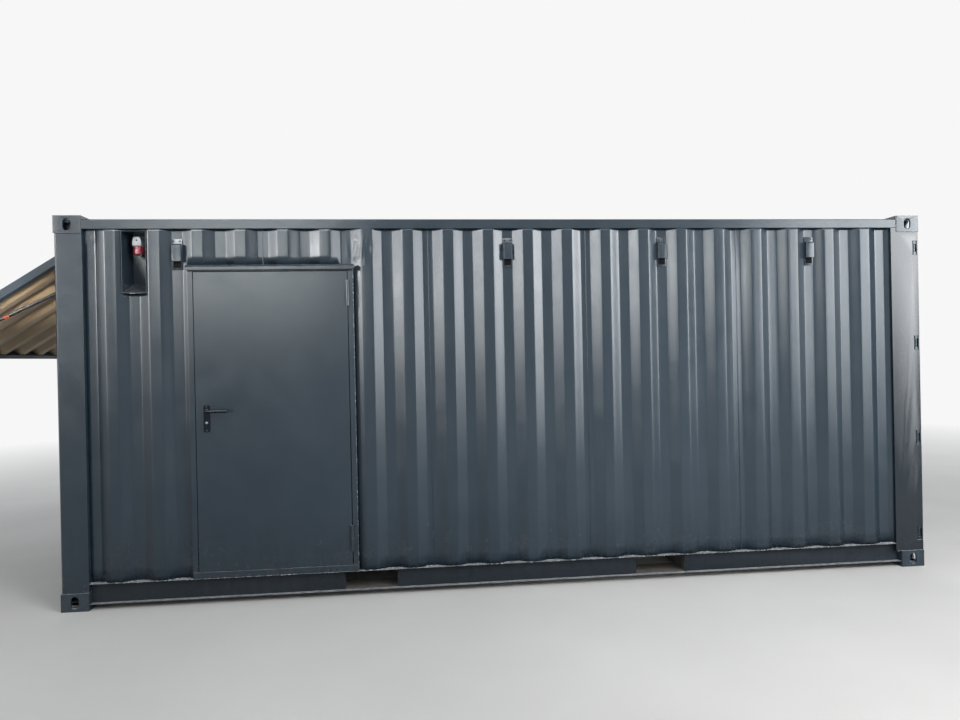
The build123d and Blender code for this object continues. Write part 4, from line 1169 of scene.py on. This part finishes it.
def softbox(name, place, aim, size, low, high, color=plain, reach=0.7, diffuse=False, spread=180):
    # area lamp whose radiance goes from low at its foot to high at reach of its height
    # it shows in reflections alone, or else lights matt colour alone
    data = bpy.data.lights.new(name, "AREA")
    data.shape = "RECTANGLE"
    data.size, data.size_y = size
    data.energy = math.pi * size[0] * size[1]
    data.color = color
    data.spread = math.radians(spread)
    data.use_nodes = True
    tree = data.node_tree
    across = parts(tree, tree.nodes.new("ShaderNodeNewGeometry").outputs["Parametric"])
    strength = ranged(tree, across["Y"], 0.0, reach, low, high)
    tree.links.new(strength, tree.nodes["Emission"].inputs["Strength"])
    lamp = bpy.data.objects.new(name, data)
    lamp.location = place
    lamp.rotation_euler = (Vector(aim) - Vector(place)).to_track_quat("-Z", "Y").to_euler()
    lamp.visible_camera = False
    lamp.visible_diffuse = diffuse
    lamp.visible_glossy = not diffuse
    scene.collection.objects.link(lamp)


def skyWorld(background, ambient):
    world = bpy.data.worlds.new("studio")
    scene.world = world
    world.use_nodes = True
    tree = world.node_tree
    path = tree.nodes.new("ShaderNodeLightPath").outputs
    seen = maths(tree, "MAXIMUM", path["Is Camera Ray"], path["Is Glossy Ray"])
    seen = maths(tree, "MAXIMUM", seen, path["Is Transmission Ray"])
    color = mixed(tree, seen, ambient, background)
    tree.links.new(color, tree.nodes["Background"].inputs["Color"])


def studioFloor(background):
    bm = bmesh.new()
    bmesh.ops.create_grid(bm, x_segments=8, y_segments=8, size=60.0)
    mesh = bpy.data.meshes.new("studio_floor")
    bm.to_mesh(mesh)
    bm.free()
    material, tree, shader = nodeMaterial("pale_floor")
    coord = objectCoords(tree)
    away = tree.nodes.new("ShaderNodeVectorMath")
    away.operation = "LENGTH"
    tree.links.new(coord, away.inputs[0])
    fade = ranged(tree, away.outputs["Value"], 5.0, 13.0, 0.0, 1.0)
    shade = ranged(tree, addNoise(tree, coord, 0.8, 3.0), 0.3, 0.7, 0.0, 1.0)
    tree.links.new(mixed(tree, shade, (0.66, 0.65, 0.63), (0.72, 0.71, 0.69)), shader.inputs["Base Color"])
    shader.inputs["Roughness"].default_value = 0.9
    glow = tree.nodes.new("ShaderNodeEmission")
    glow.inputs["Color"].default_value = (*background, 1.0)
    blend = tree.nodes.new("ShaderNodeMixShader")
    tree.links.new(fade, blend.inputs[0])
    tree.links.new(shader.outputs[0], blend.inputs[1])
    tree.links.new(glow.outputs[0], blend.inputs[2])
    tree.links.new(blend.outputs[0], tree.nodes["Material Output"].inputs["Surface"])
    mesh.materials.append(material)
    floor = bpy.data.objects.new("studio_floor", mesh)
    scene.collection.objects.link(floor)


white = (0.93, 0.93, 0.93)
photographCamera()
skyWorld(white, (0.44, 0.46, 0.48))
studioFloor(white)
softbox("right_near", (6.0, -3.85, 2.4), (0.0, -3.85, 2.4), (1.7, 4.4), 2.0, 21.0, daylight, 0.65)
softbox("right_post", (6.0, -5.1, 2.85), (0.0, -5.1, 2.85), (0.8, 3.3), 0.0, 15.0, daylight, 0.55)
softbox("right_far", (6.0, -7.1, 2.4), (0.0, -7.1, 2.4), (3.2, 4.4), 1.6, 13.0, daylight, 0.5)
softbox("left_daylight", (-70.0, -60.0, 10.0), (-70.0, 0.0, 10.0), (64.0, 20.0), 2.6, 21.0, daylight)
softbox("left_edge", (-31.0, -60.0, 10.0), (-31.0, 0.0, 10.0), (8.0, 20.0), 0.3, 2.5, daylight)
softbox("left_end", (-14.0, -3.5, 3.5), (0.0, -3.5, 3.5), (2.2, 5.0), 0.5, 3.5, daylight, 0.75)
softbox("left_side", (-14.0, -7.0, 3.5), (0.0, -7.0, 3.5), (4.8, 5.0), 0.5, 11.5, daylight, 0.75)
softbox("front_window", (-4.3, -11.2, 3.3), (-4.3, 0.0, 3.3), (4.0, 2.8), 0.8, 11.5, window, 0.75)
softbox("back_right", (-6.0, 8.0, 2.6), (0.0, 8.0, 2.6), (7.0, 3.2), 1.5, 14.0)
softbox("back_left", (7.0, 10.0, 3.2), (7.0, 0.0, 3.2), (6.0, 3.2), 1.5, 12.0)
softbox("roof_light", (-1.0, -7.0, 6.2), (-1.0, -1.2, 1.6), (9.0, 0.8), 20.0, 20.0)
softbox("door_light", (-2.5, -3.4, 3.75), (-2.2, -1.2, 1.6), (2.4, 1.0), 22.0, 22.0)
softbox("strut_light", (-5.4, -3.66, 3.0), (-3.4, -0.975, 1.97), (0.6, 0.6), 22.0, 22.0)
softbox("key", (3.6, -6.5, 4.6), (0.6, -1.0, 0.8), (3.5, 3.0), 11.0, 11.0, diffuse=True)
softbox("low_fill", (1.0, -4.3, 1.0), (1.0, 0.0, 0.8), (1.6, 0.8), 1.0, 1.0, daylight,
        diffuse=True, spread=70)
softbox("hatch_fill", (-3.9, -4.6, 0.8), (-3.2, 0.0, 2.15), (0.3, 0.3), 7.0, 7.0, warm,
        diffuse=True, spread=12)
scene.view_settings.view_transform = "Standard"

print("scene ready")
